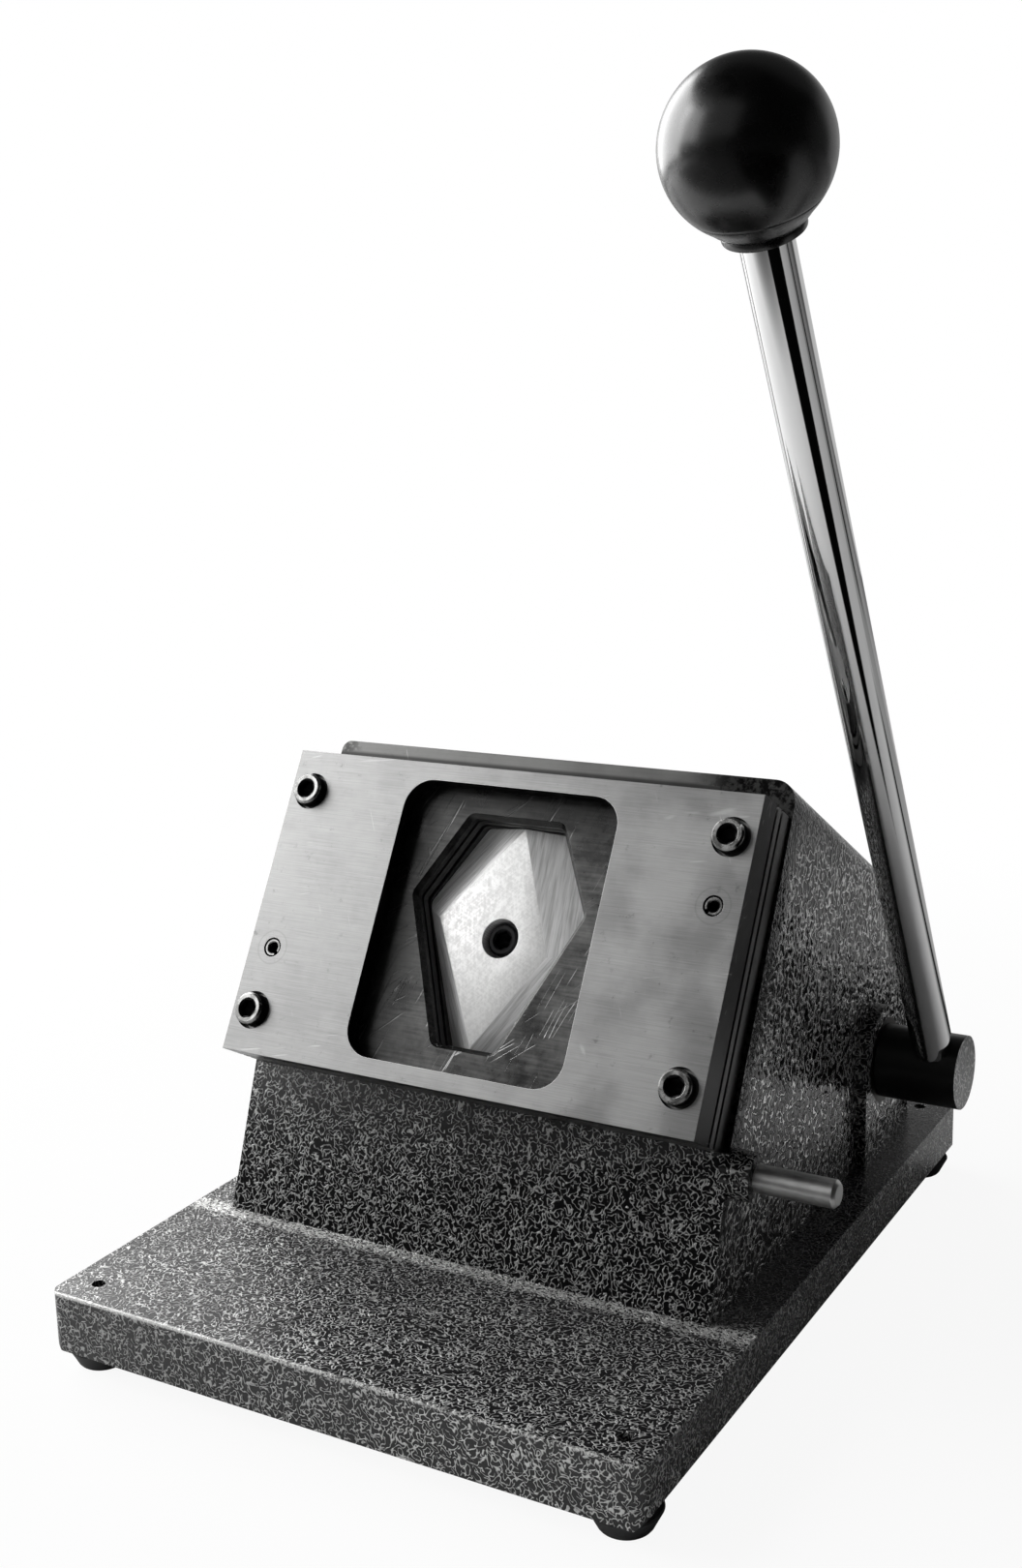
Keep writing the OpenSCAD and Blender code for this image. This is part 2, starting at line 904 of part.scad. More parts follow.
module stop_pin() {
    color([0.7, 0.7, 0.72])
    on_base()
    translate([stop_in_x, stop_y, stop_z])
    rotate([0, 90, 0]) {
        cylinder(h = shaft_end_x - stop_in_x - stop_chamfer, d = stop_d);
        translate([0, 0, shaft_end_x - stop_in_x - stop_chamfer])
        cylinder(h = stop_chamfer, d1 = stop_d, d2 = stop_d - 2 * stop_chamfer);
    }
}

module rear_cover() {
    color([0.22, 0.22, 0.23])
    difference() {
        on_base()
        translate([-cover_w / 2, rear_y, cover_z[0]])
        cube([cover_w, cover_t, cover_z[1] - cover_z[0]]);
        at_cover_screws()
        cylinder(h = cover_t * 3, d = m5_d + m5_play, center = true);
    }
}

module cover_screws() {
    color([0.65, 0.65, 0.66])
    at_cover_screws()
    difference() {
        union() {
            translate([0, 0, cover_t])
            cylinder(h = m5_head_h, d = m5_head_d);
            translate([0, 0, cover_t - m5_l])
            cylinder(h = m5_l, d = m5_d - thread_fit);
        }
        translate([0, 0, cover_t + m5_head_h / 2])
        cylinder(h = m5_head_h, d = m5_key / cos(30), $fn = 6);
    }
}

base_plate();
rubber_feet();
foot_screws();
housing();
housing_bolts();
die_plate();
slot_spacers();
stripper_plate();
shim_frame();
guide_plate();
plate_screws();
roll_pins();
punch();
punch_screw();
punch_dowel();
ram();
ram_bush();
return_springs();
lever_shaft();
cam();
cam_key();
shaft_bush_left();
shaft_bush_right();
shaft_washer();
shaft_circlip();
lever_rod();
knob();
knob_insert();
lever_set_screw();
stop_pin();
rear_cover();
cover_screws();
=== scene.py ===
# %% [markdown]
# A lever-operated badge cutter, dressed for one photograph.
# The CAD model is already in place as the frame: this script gives each piece its edges, its
# finish and its light, and leaves every CAD node where it is.

import json
import math

import bmesh
import bpy
from mathutils import Matrix, Vector


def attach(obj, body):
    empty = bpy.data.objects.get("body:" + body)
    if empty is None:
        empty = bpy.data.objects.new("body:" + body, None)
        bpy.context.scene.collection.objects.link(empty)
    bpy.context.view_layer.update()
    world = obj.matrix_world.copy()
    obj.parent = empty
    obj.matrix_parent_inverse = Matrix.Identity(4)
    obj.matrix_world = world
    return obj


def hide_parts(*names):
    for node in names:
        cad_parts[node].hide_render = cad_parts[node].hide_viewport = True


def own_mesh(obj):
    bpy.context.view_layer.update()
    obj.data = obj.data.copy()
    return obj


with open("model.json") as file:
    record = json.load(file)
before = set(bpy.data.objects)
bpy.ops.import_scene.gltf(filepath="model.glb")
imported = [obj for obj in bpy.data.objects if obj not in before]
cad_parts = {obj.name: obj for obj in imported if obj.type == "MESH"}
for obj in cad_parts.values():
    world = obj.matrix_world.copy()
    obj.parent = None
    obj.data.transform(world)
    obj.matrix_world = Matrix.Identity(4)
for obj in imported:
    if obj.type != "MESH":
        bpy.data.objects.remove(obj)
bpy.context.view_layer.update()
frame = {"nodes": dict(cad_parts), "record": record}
NODES = frame["nodes"]
BODY = {}
for body, members in frame["record"]["behaviour"]["bodies"].items():
    for member in members:
        BODY[member] = body

# %% [markdown]
# Sizes are in millimetres on the drawing and in metres in Blender, so one factor turns one into
# the other. Three places are used again and again: the front top edge of the base, the slanted
# plane of the die plate, and the shaft's axis. A matrix for each lets a piece be drawn in its own
# simple axes and then be stood where it belongs.

# %% Places of the base, the slant and the shaft
MM = 0.001
BASE_FRONT = Vector((-13.75, -126.0, 24.0)) * MM   # middle of the base's front top edge
BASE_MID, BASE_EDGE_Y, BASE_TOP_Z = BASE_FRONT
JOINT_Y = BASE_EDGE_Y + 68 * MM                    # where the housing's front wall meets the base
TILT = math.radians(60)
PLATE_L = 97 * MM
PLATE_FOOT = Vector((0, 64.5, 54.8)) * MM          # from the base's edge to the die plate's lower edge
SLANT = (
    Matrix.Translation(BASE_FRONT + PLATE_FOOT)
    @ Matrix.Rotation(TILT, 4, "X")
    @ Matrix.Translation((0, PLATE_L / 2, 0))
)
NORMAL = (SLANT.to_3x3() @ Vector((0, 0, 1))).normalized()
SHAFT_DEPTH = 131.5 * MM
SHAFT_POINT = SLANT @ Vector((0, 0, -SHAFT_DEPTH))
LEAN = math.radians(30.6)
ROD_X = 102.5 * MM
LEVER = Matrix.Translation(SHAFT_POINT + Vector((ROD_X, 0, 0))) @ Matrix.Rotation(LEAN, 4, "X")
LEVER_L = 313.9 * MM
print("shaft at", [round(v, 4) for v in SHAFT_POINT], "plate normal", [round(v, 3) for v in NORMAL])

# %% [markdown]
# The camera comes first, because the rest is judged through it. Its place and focal length were
# worked out from the photograph's perspective: three sets of parallel edges and the known size of
# the screws fix a camera as surely as a tape measure. A camera looks down its own -Z axis, so its
# matrix is built from the three directions right, up and back.

# %% Camera
scene = bpy.context.scene
PHOTO_H = 1620
FOCAL_PX = 1901.67
SENSOR = 36.0
YAW, PITCH, ROLL = math.radians(-30.2247), math.radians(-12.5463), math.radians(-1.4755)
EYE = BASE_FRONT + Vector((268.0, -351.2, 254.1)) * MM
forward = Vector((math.sin(YAW) * math.cos(PITCH), math.cos(YAW) * math.cos(PITCH), math.sin(PITCH)))
level = Vector((math.cos(YAW), -math.sin(YAW), 0))
above = level.cross(forward)
right = math.cos(ROLL) * level + math.sin(ROLL) * above
up = -math.sin(ROLL) * level + math.cos(ROLL) * above
camera = bpy.data.objects.new("camera", bpy.data.cameras.new("camera"))
scene.collection.objects.link(camera)
camera.matrix_world = Matrix.Translation(EYE) @ Matrix((right, up, -forward)).transposed().to_4x4()
camera.data.sensor_width = SENSOR
camera.data.lens = FOCAL_PX / PHOTO_H * SENSOR
camera.data.clip_start, camera.data.clip_end = 0.01, 20
scene.camera = camera
scene.view_settings.view_transform = "Standard"
print("lens", round(camera.data.lens, 2), "mm, camera at", [round(v, 3) for v in camera.location])

# %% [markdown]
# Every finish here is procedural: it is a recipe of noise and colours instead of a picture, so it
# has no seams and any size. A screen colour, as a picture editor shows it, first becomes the linear
# light that Cycles reckons in. One helper adds a node with its settings and links and gives its
# output, so a recipe reads from the inside out, as a formula does. Map Range nodes ease in and out
# here unless a call says otherwise, and Mix nodes mix colours: their sockets are 0, 6, 7 and out 2.

# %% Colours and nodes
def linear(hex_colour):
    """A screen colour such as #808080 as linear red, green, blue and alpha."""
    channels = [int(hex_colour[i:i + 2], 16) / 255 for i in (1, 3, 5)]
    light = [c / 12.92 if c <= 0.04045 else ((c + 0.055) / 1.055) ** 2.4 for c in channels]
    return (*light, 1)


USUAL = {"MapRange": {"interpolation_type": "SMOOTHSTEP"}, "Mix": {"data_type": "RGBA"}}


def add(tree, kind, *inputs, out=0, **settings):
    """Adds a node, such as Math for ShaderNodeMath, and gives one output, or the node if out is None.

    An input is a number, a colour or another node's output, in order or in a dictionary by name.
    """
    node = tree.nodes.new(kind if "Node" in kind else "ShaderNode" + kind)
    for name, value in {**USUAL.get(kind, {}), **settings}.items():
        setattr(node, name, value)
    by_name = inputs and isinstance(inputs[0], dict)
    for name, value in (inputs[0] if by_name else dict(enumerate(inputs))).items():
        if isinstance(value, bpy.types.NodeSocket):
            tree.links.new(value, node.inputs[name])
        else:
            node.inputs[name].default_value = value
    return node if out is None or len(node.outputs) == 0 else node.outputs[out]


def new_material(name):
    """A new material with an empty tree, and that tree."""
    made = bpy.data.materials.new(name)
    made.use_nodes = True
    made.node_tree.nodes.clear()
    return made, made.node_tree


print("mid grey #808080 is", round(linear("#808080")[0], 3), "in linear light")

# %% [markdown]
# A pattern needs a place to be drawn on. Object coordinates in millimetres give it its real size,
# and coordinates turned to lie in the slanted plates let scratches run along them. The shared
# patterns are clouds of a given size, and masks: a mask is 1 where something is and 0 elsewhere.
# Two masks multiplied hold where both do, and the larger of two holds where either does.

# %% Places, clouds and masks
def millimetres(tree):
    """Object coordinates in millimetres."""
    scale = (1 / MM, 1 / MM, 1 / MM)
    return add(tree, "Mapping", {0: add(tree, "TexCoord", out="Object"), "Scale": scale})


def slanted(tree, turn_deg=0.0, stretch=(1, 1, 1)):
    """Millimetres along, up and out of the slant, turned in its plane and then stretched."""
    flat = add(tree, "Mapping", {
        0: add(tree, "TexCoord", out="Object"), "Rotation": (-TILT, 0, 0),
        "Location": Matrix.Rotation(-TILT, 3, "X") @ SLANT.translation / -MM,
        "Scale": (1 / MM, 1 / MM, 1 / MM),
    })
    spun = add(tree, "Mapping", {0: flat, "Rotation": (0, 0, math.radians(turn_deg))})
    return add(tree, "Mapping", {0: spun, "Scale": stretch})


def clouds(tree, size_mm, detail=2.0, roughness=0.5, place=None):
    """Noise from 0 to 1 whose clouds are about size_mm across, on the object or on another place."""
    where = millimetres(tree) if place is None else place
    scale = 1 / size_mm
    return add(tree, "TexNoise", {
        "Vector": where, "Scale": scale, "Detail": detail, "Roughness": roughness,
    })


def all_of(tree, mask, *others):
    """1 where every mask is 1."""
    for other in others:
        mask = add(tree, "Math", mask, other, operation="MULTIPLY")
    return mask


def any_of(tree, mask, *others):
    """1 where one of the masks is 1."""
    for other in others:
        mask = add(tree, "Math", mask, other, operation="MAXIMUM")
    return mask


def near(tree, value, middle, width, core=0.0):
    """1 where value is within core of middle, falling to 0 at width from it."""
    away = add(tree, "Math", value, middle, operation="SUBTRACT")
    return add(tree, "MapRange", add(tree, "Math", away, operation="ABSOLUTE"), core, width, 1.0, 0.0)


def surface(tree, height=None, height_mm=0.0, **inputs):
    """Ends a recipe with its shader and output; height from 0 to 1 stands up by height_mm."""
    named = {name.replace("_", " "): value for name, value in inputs.items()}
    if height is not None:
        named["Normal"] = add(tree, "Bump", {"Height": height, "Distance": height_mm * MM})
    add(tree, "OutputMaterial", {"Surface": add(tree, "BsdfPrincipled", named)})


print("patterns are drawn at", 1 / MM, "units to the metre, so 1 is a millimetre")

# %% [markdown]
# Paint on a tool that is used every day isn't the same all over. On the base, the front top edge
# and the foot of the housing's wall are rubbed down to the pale primer, more so on the left, and
# that near-white line also stands in as a painted highlight. Painted shade darkens the ridges on
# the base's left face, the left of its front and its top beside the housing, and on the housing's
# right wall beside the plates and towards its top. Each is a mask made from where a point lies.

# %% Worn zones and painted shade of the paint
EDGE_IN, EDGE_W = 0.3 * MM, 0.9 * MM      # the rubbed line's place inside the edge, and its half width
WALL_FOOT_Y, WALL_FOOT_W = JOINT_Y - 1.6 * MM, 5.5 * MM


def worn_and_highlight_lines(tree, worm):
    """1 on the base's front top edge and the wall's foot, broken by noise: wear and painted highlight."""
    x, y, z = add(tree, "SeparateXYZ", add(tree, "TexCoord", out="Object"), out=slice(3))
    leftward = add(tree, "MapRange", x, BASE_MID - 90 * MM, BASE_MID + 70 * MM, 1.0, 0.0)
    grit = clouds(tree, 0.9, 2.0, 0.7)
    more_left = add(tree, "Math", grit, all_of(tree, leftward, 0.22), operation="ADD")
    edge = all_of(
        tree, near(tree, y, BASE_EDGE_Y + EDGE_IN, EDGE_W), near(tree, z, BASE_TOP_Z - EDGE_IN, EDGE_W),
        add(tree, "MapRange", more_left, 0.46, 0.6),
    )
    foot = all_of(tree, near(tree, y, WALL_FOOT_Y, WALL_FOOT_W), near(tree, z, BASE_TOP_Z, 2 * MM))
    specks = any_of(tree, worm, add(tree, "MapRange", grit, 0.46, 0.54))
    foot = all_of(
        tree, add(tree, "MapRange", foot, 0.0, 0.6), specks,
        add(tree, "MapRange", leftward, 0.0, 0.8, 0.6, 1.0),
    )
    return any_of(tree, edge, foot)


def painted_shade_base(tree):
    """How bright the base's ridges are: 1, less under painted shade on its left and by the housing."""
    faces = add(tree, "NewGeometry", out="Normal")
    faces_x, faces_y, faces_z = add(tree, "SeparateXYZ", faces, out=slice(3))
    x, y = add(tree, "SeparateXYZ", add(tree, "TexCoord", out="Object"), out=slice(2))
    # Painted shade on the faces towards the left and on the left of the front.
    left_face = add(tree, "MapRange", faces_x, -0.3, -0.8, 0.0, 0.6)
    front_left = all_of(
        tree, add(tree, "MapRange", faces_y, -0.3, -0.8),
        add(tree, "MapRange", x, BASE_MID - 80 * MM, BASE_MID + 40 * MM, 0.4, 0.0),
    )
    # Painted shadow on the base's top, just right of the housing.
    housing_shadow_top = all_of(
        tree, add(tree, "MapRange", faces_z, 0.5, 0.9), add(tree, "MapRange", x, 45 * MM, 60 * MM),
        add(tree, "MapRange", y, JOINT_Y - 20 * MM, JOINT_Y + 30 * MM, 0.0, 0.8),
    )
    most_shaded = any_of(tree, housing_shadow_top, front_left, left_face)
    return add(tree, "Math", 1.0, most_shaded, operation="SUBTRACT")


def painted_shade_wall(tree):
    """Right wall ridge brightness: painted shade, almost 0 beside the plates and less near its top."""
    up_slant, out_of_slant = add(tree, "SeparateXYZ", slanted(tree), out=slice(1, 3))
    # Painted shade beside the plates.
    beside = add(tree, "MapRange", out_of_slant, -31.0, -24.5, 1.0, 0.04)
    height = add(tree, "Math", up_slant, all_of(tree, out_of_slant, 0.3), operation="ADD")
    return all_of(tree, beside, add(tree, "MapRange", height, 22.0, 44.0, 1.0, 0.15))


print("rubbed lines at y", round(BASE_EDGE_Y, 4), "and", round(WALL_FOOT_Y, 4))

# %% [markdown]
# Hammertone paint dries into a skin of dark pools with silvery, worm-like ridges between them,
# because its metal flakes gather where the paint shrinks. A line where a noise passes through one
# value is just such a worm. Two such fields are drawn, and a third noise lets now one show and now
# the other, which leaves short worms that lie every way. They are lighter and raised, and a little
# less glossy than the pools. The right wall was sprayed more thickly: its worms are larger and lie
# on a swell. Where the coat is worn, the near-white primer shows in place of both, and that pale
# line is also a painted highlight.

# %% Hammertone paint
# Near white: the primer where the coat is worn, which also serves as a painted highlight.
PRIMER_AND_HIGHLIGHT = linear("#fafaf8")


def worms(tree, place, worm_mm, width):
    """Short lines: two fields of noise, each of which shows only where a third one lets it."""
    gate = clouds(tree, worm_mm * 1.5, 0.0, place=place)
    drawn = []
    for shift, hidden, shown in ((0.0, 0.46, 0.54), (41.3, 0.54, 0.46)):
        field = clouds(tree, worm_mm, 0.0, place=add(tree, "VectorMath", place, (shift, shift, shift)))
        line = near(tree, field, 0.5, width, 0.25 * width)
        drawn.append(all_of(tree, line, add(tree, "MapRange", gate, hidden, shown)))
    return any_of(tree, *drawn)


def hammertone(name, pool, ridge, worm_mm, width=0.1, lift=0.16, gloss=0.3, shine=0.3, swell=0.0,
               dim=None, worn=False):
    """Dark pools of paint with raised silvery worms; dim is a mask of painted shade on the worms."""
    made, tree = new_material(name)
    place = millimetres(tree)
    bend = add(tree, "TexNoise", {"Vector": place, "Scale": 0.4, "Detail": 0.0}, out="Color")
    push = add(tree, "VectorMath", bend, (1.6, 1.6, 1.6), operation="MULTIPLY")
    bent = add(tree, "VectorMath", place, push)
    worm = worms(tree, bent, worm_mm, width)
    brightness = add(tree, "MapRange", clouds(tree, 22.0, place=place), 0.3, 0.7, 0.75, 1.0)
    if dim:
        brightness = all_of(tree, brightness, dim(tree))
    bright_worm = all_of(tree, worm, brightness)
    colour = add(tree, "Mix", {0: bright_worm, 6: linear(pool), 7: linear(ridge)}, out=2)
    metal = all_of(tree, worm, shine)
    # The worn lines are near white: bared primer and a painted highlight in one.
    if worn:
        rub_and_highlight = worn_and_highlight_lines(tree, worm)
        colour = add(tree, "Mix", {0: rub_and_highlight, 6: colour, 7: PRIMER_AND_HIGHLIGHT}, out=2)
        metal = any_of(tree, metal, all_of(tree, rub_and_highlight, 0.5))
    height = worm
    if swell:
        waves = all_of(tree, clouds(tree, 2.6, 1.0, place=bent), swell)
        height = add(tree, "Math", worm, waves, operation="ADD")
    surface(
        tree, height, lift, Base_Color=colour, Metallic=metal,
        Roughness=add(tree, "MapRange", worm, 0.0, 1.0, gloss, gloss + 0.12),
    )
    return made


# The base's coat is rich in flakes, so its ridges make it look mid grey. Painted shade darkens
# them on its left and beside the housing.
base_paint = hammertone(
    "hammertone_base", "#1a1a1b", "#dadad9", 1.4, width=0.078, gloss=0.26, shine=0.5,
    dim=painted_shade_base, worn=True,
)
# The casting's coat is nearly black between thinner, duller ridges.
casting_paint = hammertone(
    "hammertone_casting", "#020203", "#b4b4b3", 1.4, width=0.075, gloss=0.24, shine=0.5,
)
# The thick coat of the right wall is glossy, and its ridges glint. Painted shade darkens them
# beside the plates and near the wall's top.
side_paint = hammertone(
    "hammertone_side", "#020203", "#f8f8f7", 2.4, lift=0.3, gloss=0.08, shine=0.9, swell=1.2,
    dim=painted_shade_wall,
)
# On the shaft's end the ridges run together and look pale.
end_paint = hammertone("hammertone_shaft_end", "#929293", "#fafaf9", 2.0)
print("paint:", base_paint.name, casting_paint.name, side_paint.name, end_paint.name)

# %% [markdown]
# Steel that is handled collects marks. Deep scratches are thin bands of a stretched noise that show
# only where a second noise lets them. A driver has turned against the plate round each spring pin
# and left a faint ring. On the milled seat of the casting, a dark band where it meets the plates'
# top edge is painted shadow, and its two upper corners are dirty.

# %% Marks on the steel
PIN_AT = (70.5, 15.4)                     # spring pins, millimetres along and up the slant
SEAT_SHOWS_AT = 55.3                      # where the seat comes out above the plates, up the slant


def scratches(tree, turn_deg, spacing_mm, rare=0.62):
    """Thin, long and rare lines in one direction."""
    field = clouds(tree, spacing_mm, 1.0, place=slanted(tree, turn_deg, (0.04, 1.0, 1.0)))
    gate = clouds(tree, 5.0, 1.0, place=slanted(tree, turn_deg, (0.35, 1.0, 1.0)))
    return all_of(
        tree, near(tree, field, 0.5, 0.012), add(tree, "MapRange", gate, rare, rare + 0.08),
    )


def pin_rings(tree):
    """1 on a thin ring round each spring pin."""
    rings = []
    for side in (-1, 1):
        centre = (side * PIN_AT[0], side * PIN_AT[1], 0.0)
        away = add(tree, "VectorMath", slanted(tree), centre, operation="DISTANCE", out="Value")
        rings.append(near(tree, away, 5.2, 0.4))
    return any_of(tree, *rings)


def shadow_and_oil_rim(tree):
    """1 on the seat's band by the plates' top edge, a painted shadow, and in its dirty upper corners."""
    along, up_slant = add(tree, "SeparateXYZ", slanted(tree), out=slice(2))
    blotches = clouds(tree, 2.4, 4.0, 0.7)
    right_corner = all_of(
        tree, add(tree, "MapRange", along, 44.0, 60.0),
        add(tree, "MapRange", blotches, 0.42, 0.58, 0.7, 1.0),
    )
    left_corner = all_of(
        tree, add(tree, "MapRange", along, -70.0, -78.0),
        add(tree, "MapRange", blotches, 0.46, 0.54, 0.0, 0.6),
    )
    # Painted shadow along the band where the plates' top edge meets the seat.
    gap_shadow = add(tree, "MapRange", up_slant, SEAT_SHOWS_AT, SEAT_SHOWS_AT + 1.3, 0.7, 0.0)
    return any_of(tree, gap_shadow, right_corner, left_corner)


print("rings round the pins at", PIN_AT, "mm")

# %% [markdown]
# The plates are ground flat and then brushed along their length, so their fine lines all run one
# way: noise that is stretched fifty times along X is a brushed sheet. Real brush lines are finer
# than the picture can show, so they are drawn 0.35 mm wide. Oily fingers leave soft smudges that
# change both the tone and the sharpness of what the steel mirrors. The plates' cut edges are
# near black, the seat is milled iron, and the shims between the plates are dark rolled steel.

# %% Brushed, milled and rolled steel
GRAIN_MM = 0.35


def brushed(name, light, dark, rough, smudge=0.5, rim=None):
    """Steel brushed along the slant's X axis; rim is a mask of painted shadow and dirty oil."""
    made, tree = new_material(name)
    grain = clouds(tree, GRAIN_MM, 3.0, 0.65, slanted(tree, 0.0, (0.02, 1.0, 1.0)))
    patch = add(tree, "MapRange", clouds(tree, 22.0, 4.0, 0.55), 0.34, 0.66)
    spots = add(tree, "MapRange", clouds(tree, 3.5, 4.0, 0.7), 0.60, 0.74)
    marks = any_of(tree, scratches(tree, 63.0, 6.0, 0.66), scratches(tree, -12.0, 8.0, 0.64))
    tone = add(
        tree, "Math", all_of(tree, grain, 0.45), all_of(tree, patch, smudge), operation="ADD",
    )
    tone = add(
        tree, "Math", tone, all_of(tree, spots, 0.22), operation="SUBTRACT", use_clamp=True,
    )
    colour = add(tree, "Mix", {0: tone, 6: linear(dark), 7: linear(light)}, out=2)
    scratched = {0: all_of(tree, marks, 0.2), 6: colour, 7: linear("#f0f0f0")}
    colour = add(tree, "Mix", scratched, out=2)
    ringed = {0: all_of(tree, pin_rings(tree), 0.2), 6: colour, 7: linear("#4c4c4c")}
    colour = add(tree, "Mix", ringed, out=2)
    if rim:
        # Near black where the rim mask is: painted shadow, and oil in the corners.
        colour = add(tree, "Mix", {0: rim(tree), 6: colour, 7: linear("#0e0e0e")}, out=2)
    surface(
        tree, add(tree, "Math", grain, marks, operation="SUBTRACT"), 0.012,
        Base_Color=colour, Metallic=1.0,
        Roughness=add(tree, "MapRange", patch, 0.0, 1.0, rough - 0.05, rough + 0.06),
    )
    return made


# Ground and brushed tool steel is bright and mirrors in soft streaks.
plate_steel = brushed("brushed_die_steel", "#c2c2c1", "#707070", 0.38, smudge=0.24)
# The plates' milled edges are given near-black steel, so they show dark.
edge_steel = brushed("near_black_plate_edge", "#303030", "#1c1c1c", 0.34)
# Milled cast iron is greyer than steel, because of the graphite in it.
# Its rim mask paints shadow along the plates' top edge and oil in the seat's upper corners.
milled_iron = brushed("milled_cast_iron", "#747473", "#585857", 0.36, rim=shadow_and_oil_rim)
# Ground plates that are seldom wiped are a duller grey.
stack_steel = brushed("ground_plate_steel", "#7c7c7b", "#4a4a4a", 0.38)
# Rolled strip keeps the dark skin of the mill.
shim_dark = brushed("rolled_shim_steel", "#3a3a3a", "#191919", 0.45)
print("steel:", plate_steel.name, edge_steel.name, milled_iron.name, stack_steel.name, shim_dark.name)

# %% [markdown]
# The pocket's floor is machined, oily and scratched by years of sheets and fingernails. It takes
# its own darker recipe, with grime and painted shade on its left and along its top, beside its
# walls, and two directions of scratches that show most at its lower right, where the sheet is
# pushed out.

# %% Oily pocket floor
def oily_floor():
    """Dark, oily steel with bright scratches."""
    made, tree = new_material("oily_machined_steel")
    patch = clouds(tree, 11.0, 5.0, 0.65)
    fine = clouds(tree, 0.8, 3.0, place=slanted(tree, 0.0, (0.06, 1.0, 1.0)))
    marks = any_of(tree, scratches(tree, -70.0, 2.4, 0.52), scratches(tree, -38.0, 3.0, 0.55))
    tone = add(tree, "Math", all_of(tree, patch, 0.7), all_of(tree, fine, 0.3), operation="ADD")
    level = add(tree, "MapRange", tone, 0.3, 0.8)
    colour = add(tree, "Mix", {0: level, 6: linear("#303030"), 7: linear("#6c6c6b")}, out=2)
    along, up_slant = add(tree, "SeparateXYZ", slanted(tree), out=slice(2))
    # Grime and painted shade near the pocket's left and top walls.
    grime_and_shade = any_of(tree, near(tree, along, -38.0, 26.0), near(tree, up_slant, 45.0, 22.0))
    grime_and_shade_mix = {0: all_of(tree, grime_and_shade, 0.85), 6: colour, 7: linear("#161616")}
    colour = add(tree, "Mix", grime_and_shade_mix, out=2)
    corner = add(tree, "Math", along, up_slant, operation="SUBTRACT")
    lower_right = add(tree, "MapRange", corner, 0.0, 60.0, 0.08, 0.75)
    scratched = {0: all_of(tree, marks, lower_right), 6: colour, 7: linear("#c8c8c8")}
    colour = add(tree, "Mix", scratched, out=2)
    surface(
        tree, add(tree, "Math", tone, marks, operation="SUBTRACT"), 0.05,
        Base_Color=colour, Metallic=0.9, Roughness=add(tree, "MapRange", patch, 0.3, 0.7, 0.22, 0.46),
    )
    return made


pocket_steel = oily_floor()
print("pocket:", pocket_steel.name)

# %% [markdown]
# The punch's four bevels are ground one by one, so their grinding lines change direction from face
# to face. A face's own direction goes into a UV map in millimetres, and the recipe follows that
# map instead of the object's axes. The flat between them is lapped, which is rubbing on a plate
# with fine grit in every direction: three sets of short marks lie over each other there. A fresh
# cut on steel scatters light more than polished steel does, so both are only partly metallic.

# %% Ground and lapped punch
def ground_faces():
    """Bright steel with grinding lines along the U axis of its UV map, which is in millimetres."""
    made, tree = new_material("surface_ground_steel")
    lanes = add(tree, "UVMap", uv_map="grind")
    layers = []
    for stretch, size_mm, detail, share in ((0.07, 1.5, 3.0, 0.6), (0.05, 0.5, 2.0, 0.4)):
        place = add(tree, "Mapping", {0: lanes, "Scale": (stretch, 1.0, 1.0)})
        layers.append(all_of(tree, clouds(tree, size_mm, detail, 0.6, place), share))
    tone = add(tree, "Math", *layers, operation="ADD")
    level = add(tree, "MapRange", tone, 0.3, 0.66)
    surface(
        tree, tone, 0.05, Metallic=0.2, Roughness=add(tree, "MapRange", tone, 0.3, 0.7, 0.46, 0.3),
        Base_Color=add(tree, "Mix", {0: level, 6: linear("#c2c2c1"), 7: linear("#ffffff")}, out=2),
    )
    return made


def lapped_flat():
    """Bright steel rubbed every way, with short marks."""
    made, tree = new_material("lapped_punch_flat")
    marks = []
    for turn_deg, size_mm in ((20.0, 0.7), (75.0, 0.8), (-50.0, 0.75)):
        marks.append(clouds(tree, size_mm, 3.0, 0.65, slanted(tree, turn_deg, (0.25, 1.0, 1.0))))
    two = add(tree, "Math", marks[0], marks[1], operation="ADD")
    tone = add(tree, "Math", two, marks[2], operation="ADD")
    level = add(tree, "MapRange", tone, 1.25, 1.75)
    surface(
        tree, tone, 0.02, Metallic=0.65, Roughness=add(tree, "MapRange", tone, 1.2, 1.8, 0.48, 0.36),
        Base_Color=add(tree, "Mix", {0: level, 6: linear("#d6d6d5"), 7: linear("#e8e8e7")}, out=2),
    )
    return made


punch_steel = ground_faces()
punch_flat = lapped_flat()
print("punch:", punch_steel.name, punch_flat.name)

# %% [markdown]
# The small parts have plain finishes: black oxide on the screws, with bright steel where a key has
# rubbed the rim, chrome on the rod, polished phenolic on the knob, drawn steel on the pins, bronze
# on the bushes and rubber under the base. Each is one Principled shader, and a little noise in
# its roughness keeps it from looking like plastic.

# %% Plain finishes
def plain(name, light, dark, metal, rough, vary=0.06, size_mm=6.0, coat=0.0, lift=0.0, mirror=0.5):
    """One finish with cloudy changes of tone and roughness."""
    made, tree = new_material(name)
    cloud = clouds(tree, size_mm, 3.0, 0.6)
    level = add(tree, "MapRange", cloud, 0.35, 0.65)
    smoothest = max(rough - vary, 0.02)
    surface(
        tree, clouds(tree, 0.5) if lift else None, lift, Metallic=metal,
        Base_Color=add(tree, "Mix", {0: level, 6: linear(dark), 7: linear(light)}, out=2),
        Roughness=add(tree, "MapRange", cloud, 0.3, 0.7, smoothest, rough + vary),
        Coat_Weight=coat, Coat_Roughness=0.04, Specular_IOR_Level=mirror,
    )
    return made


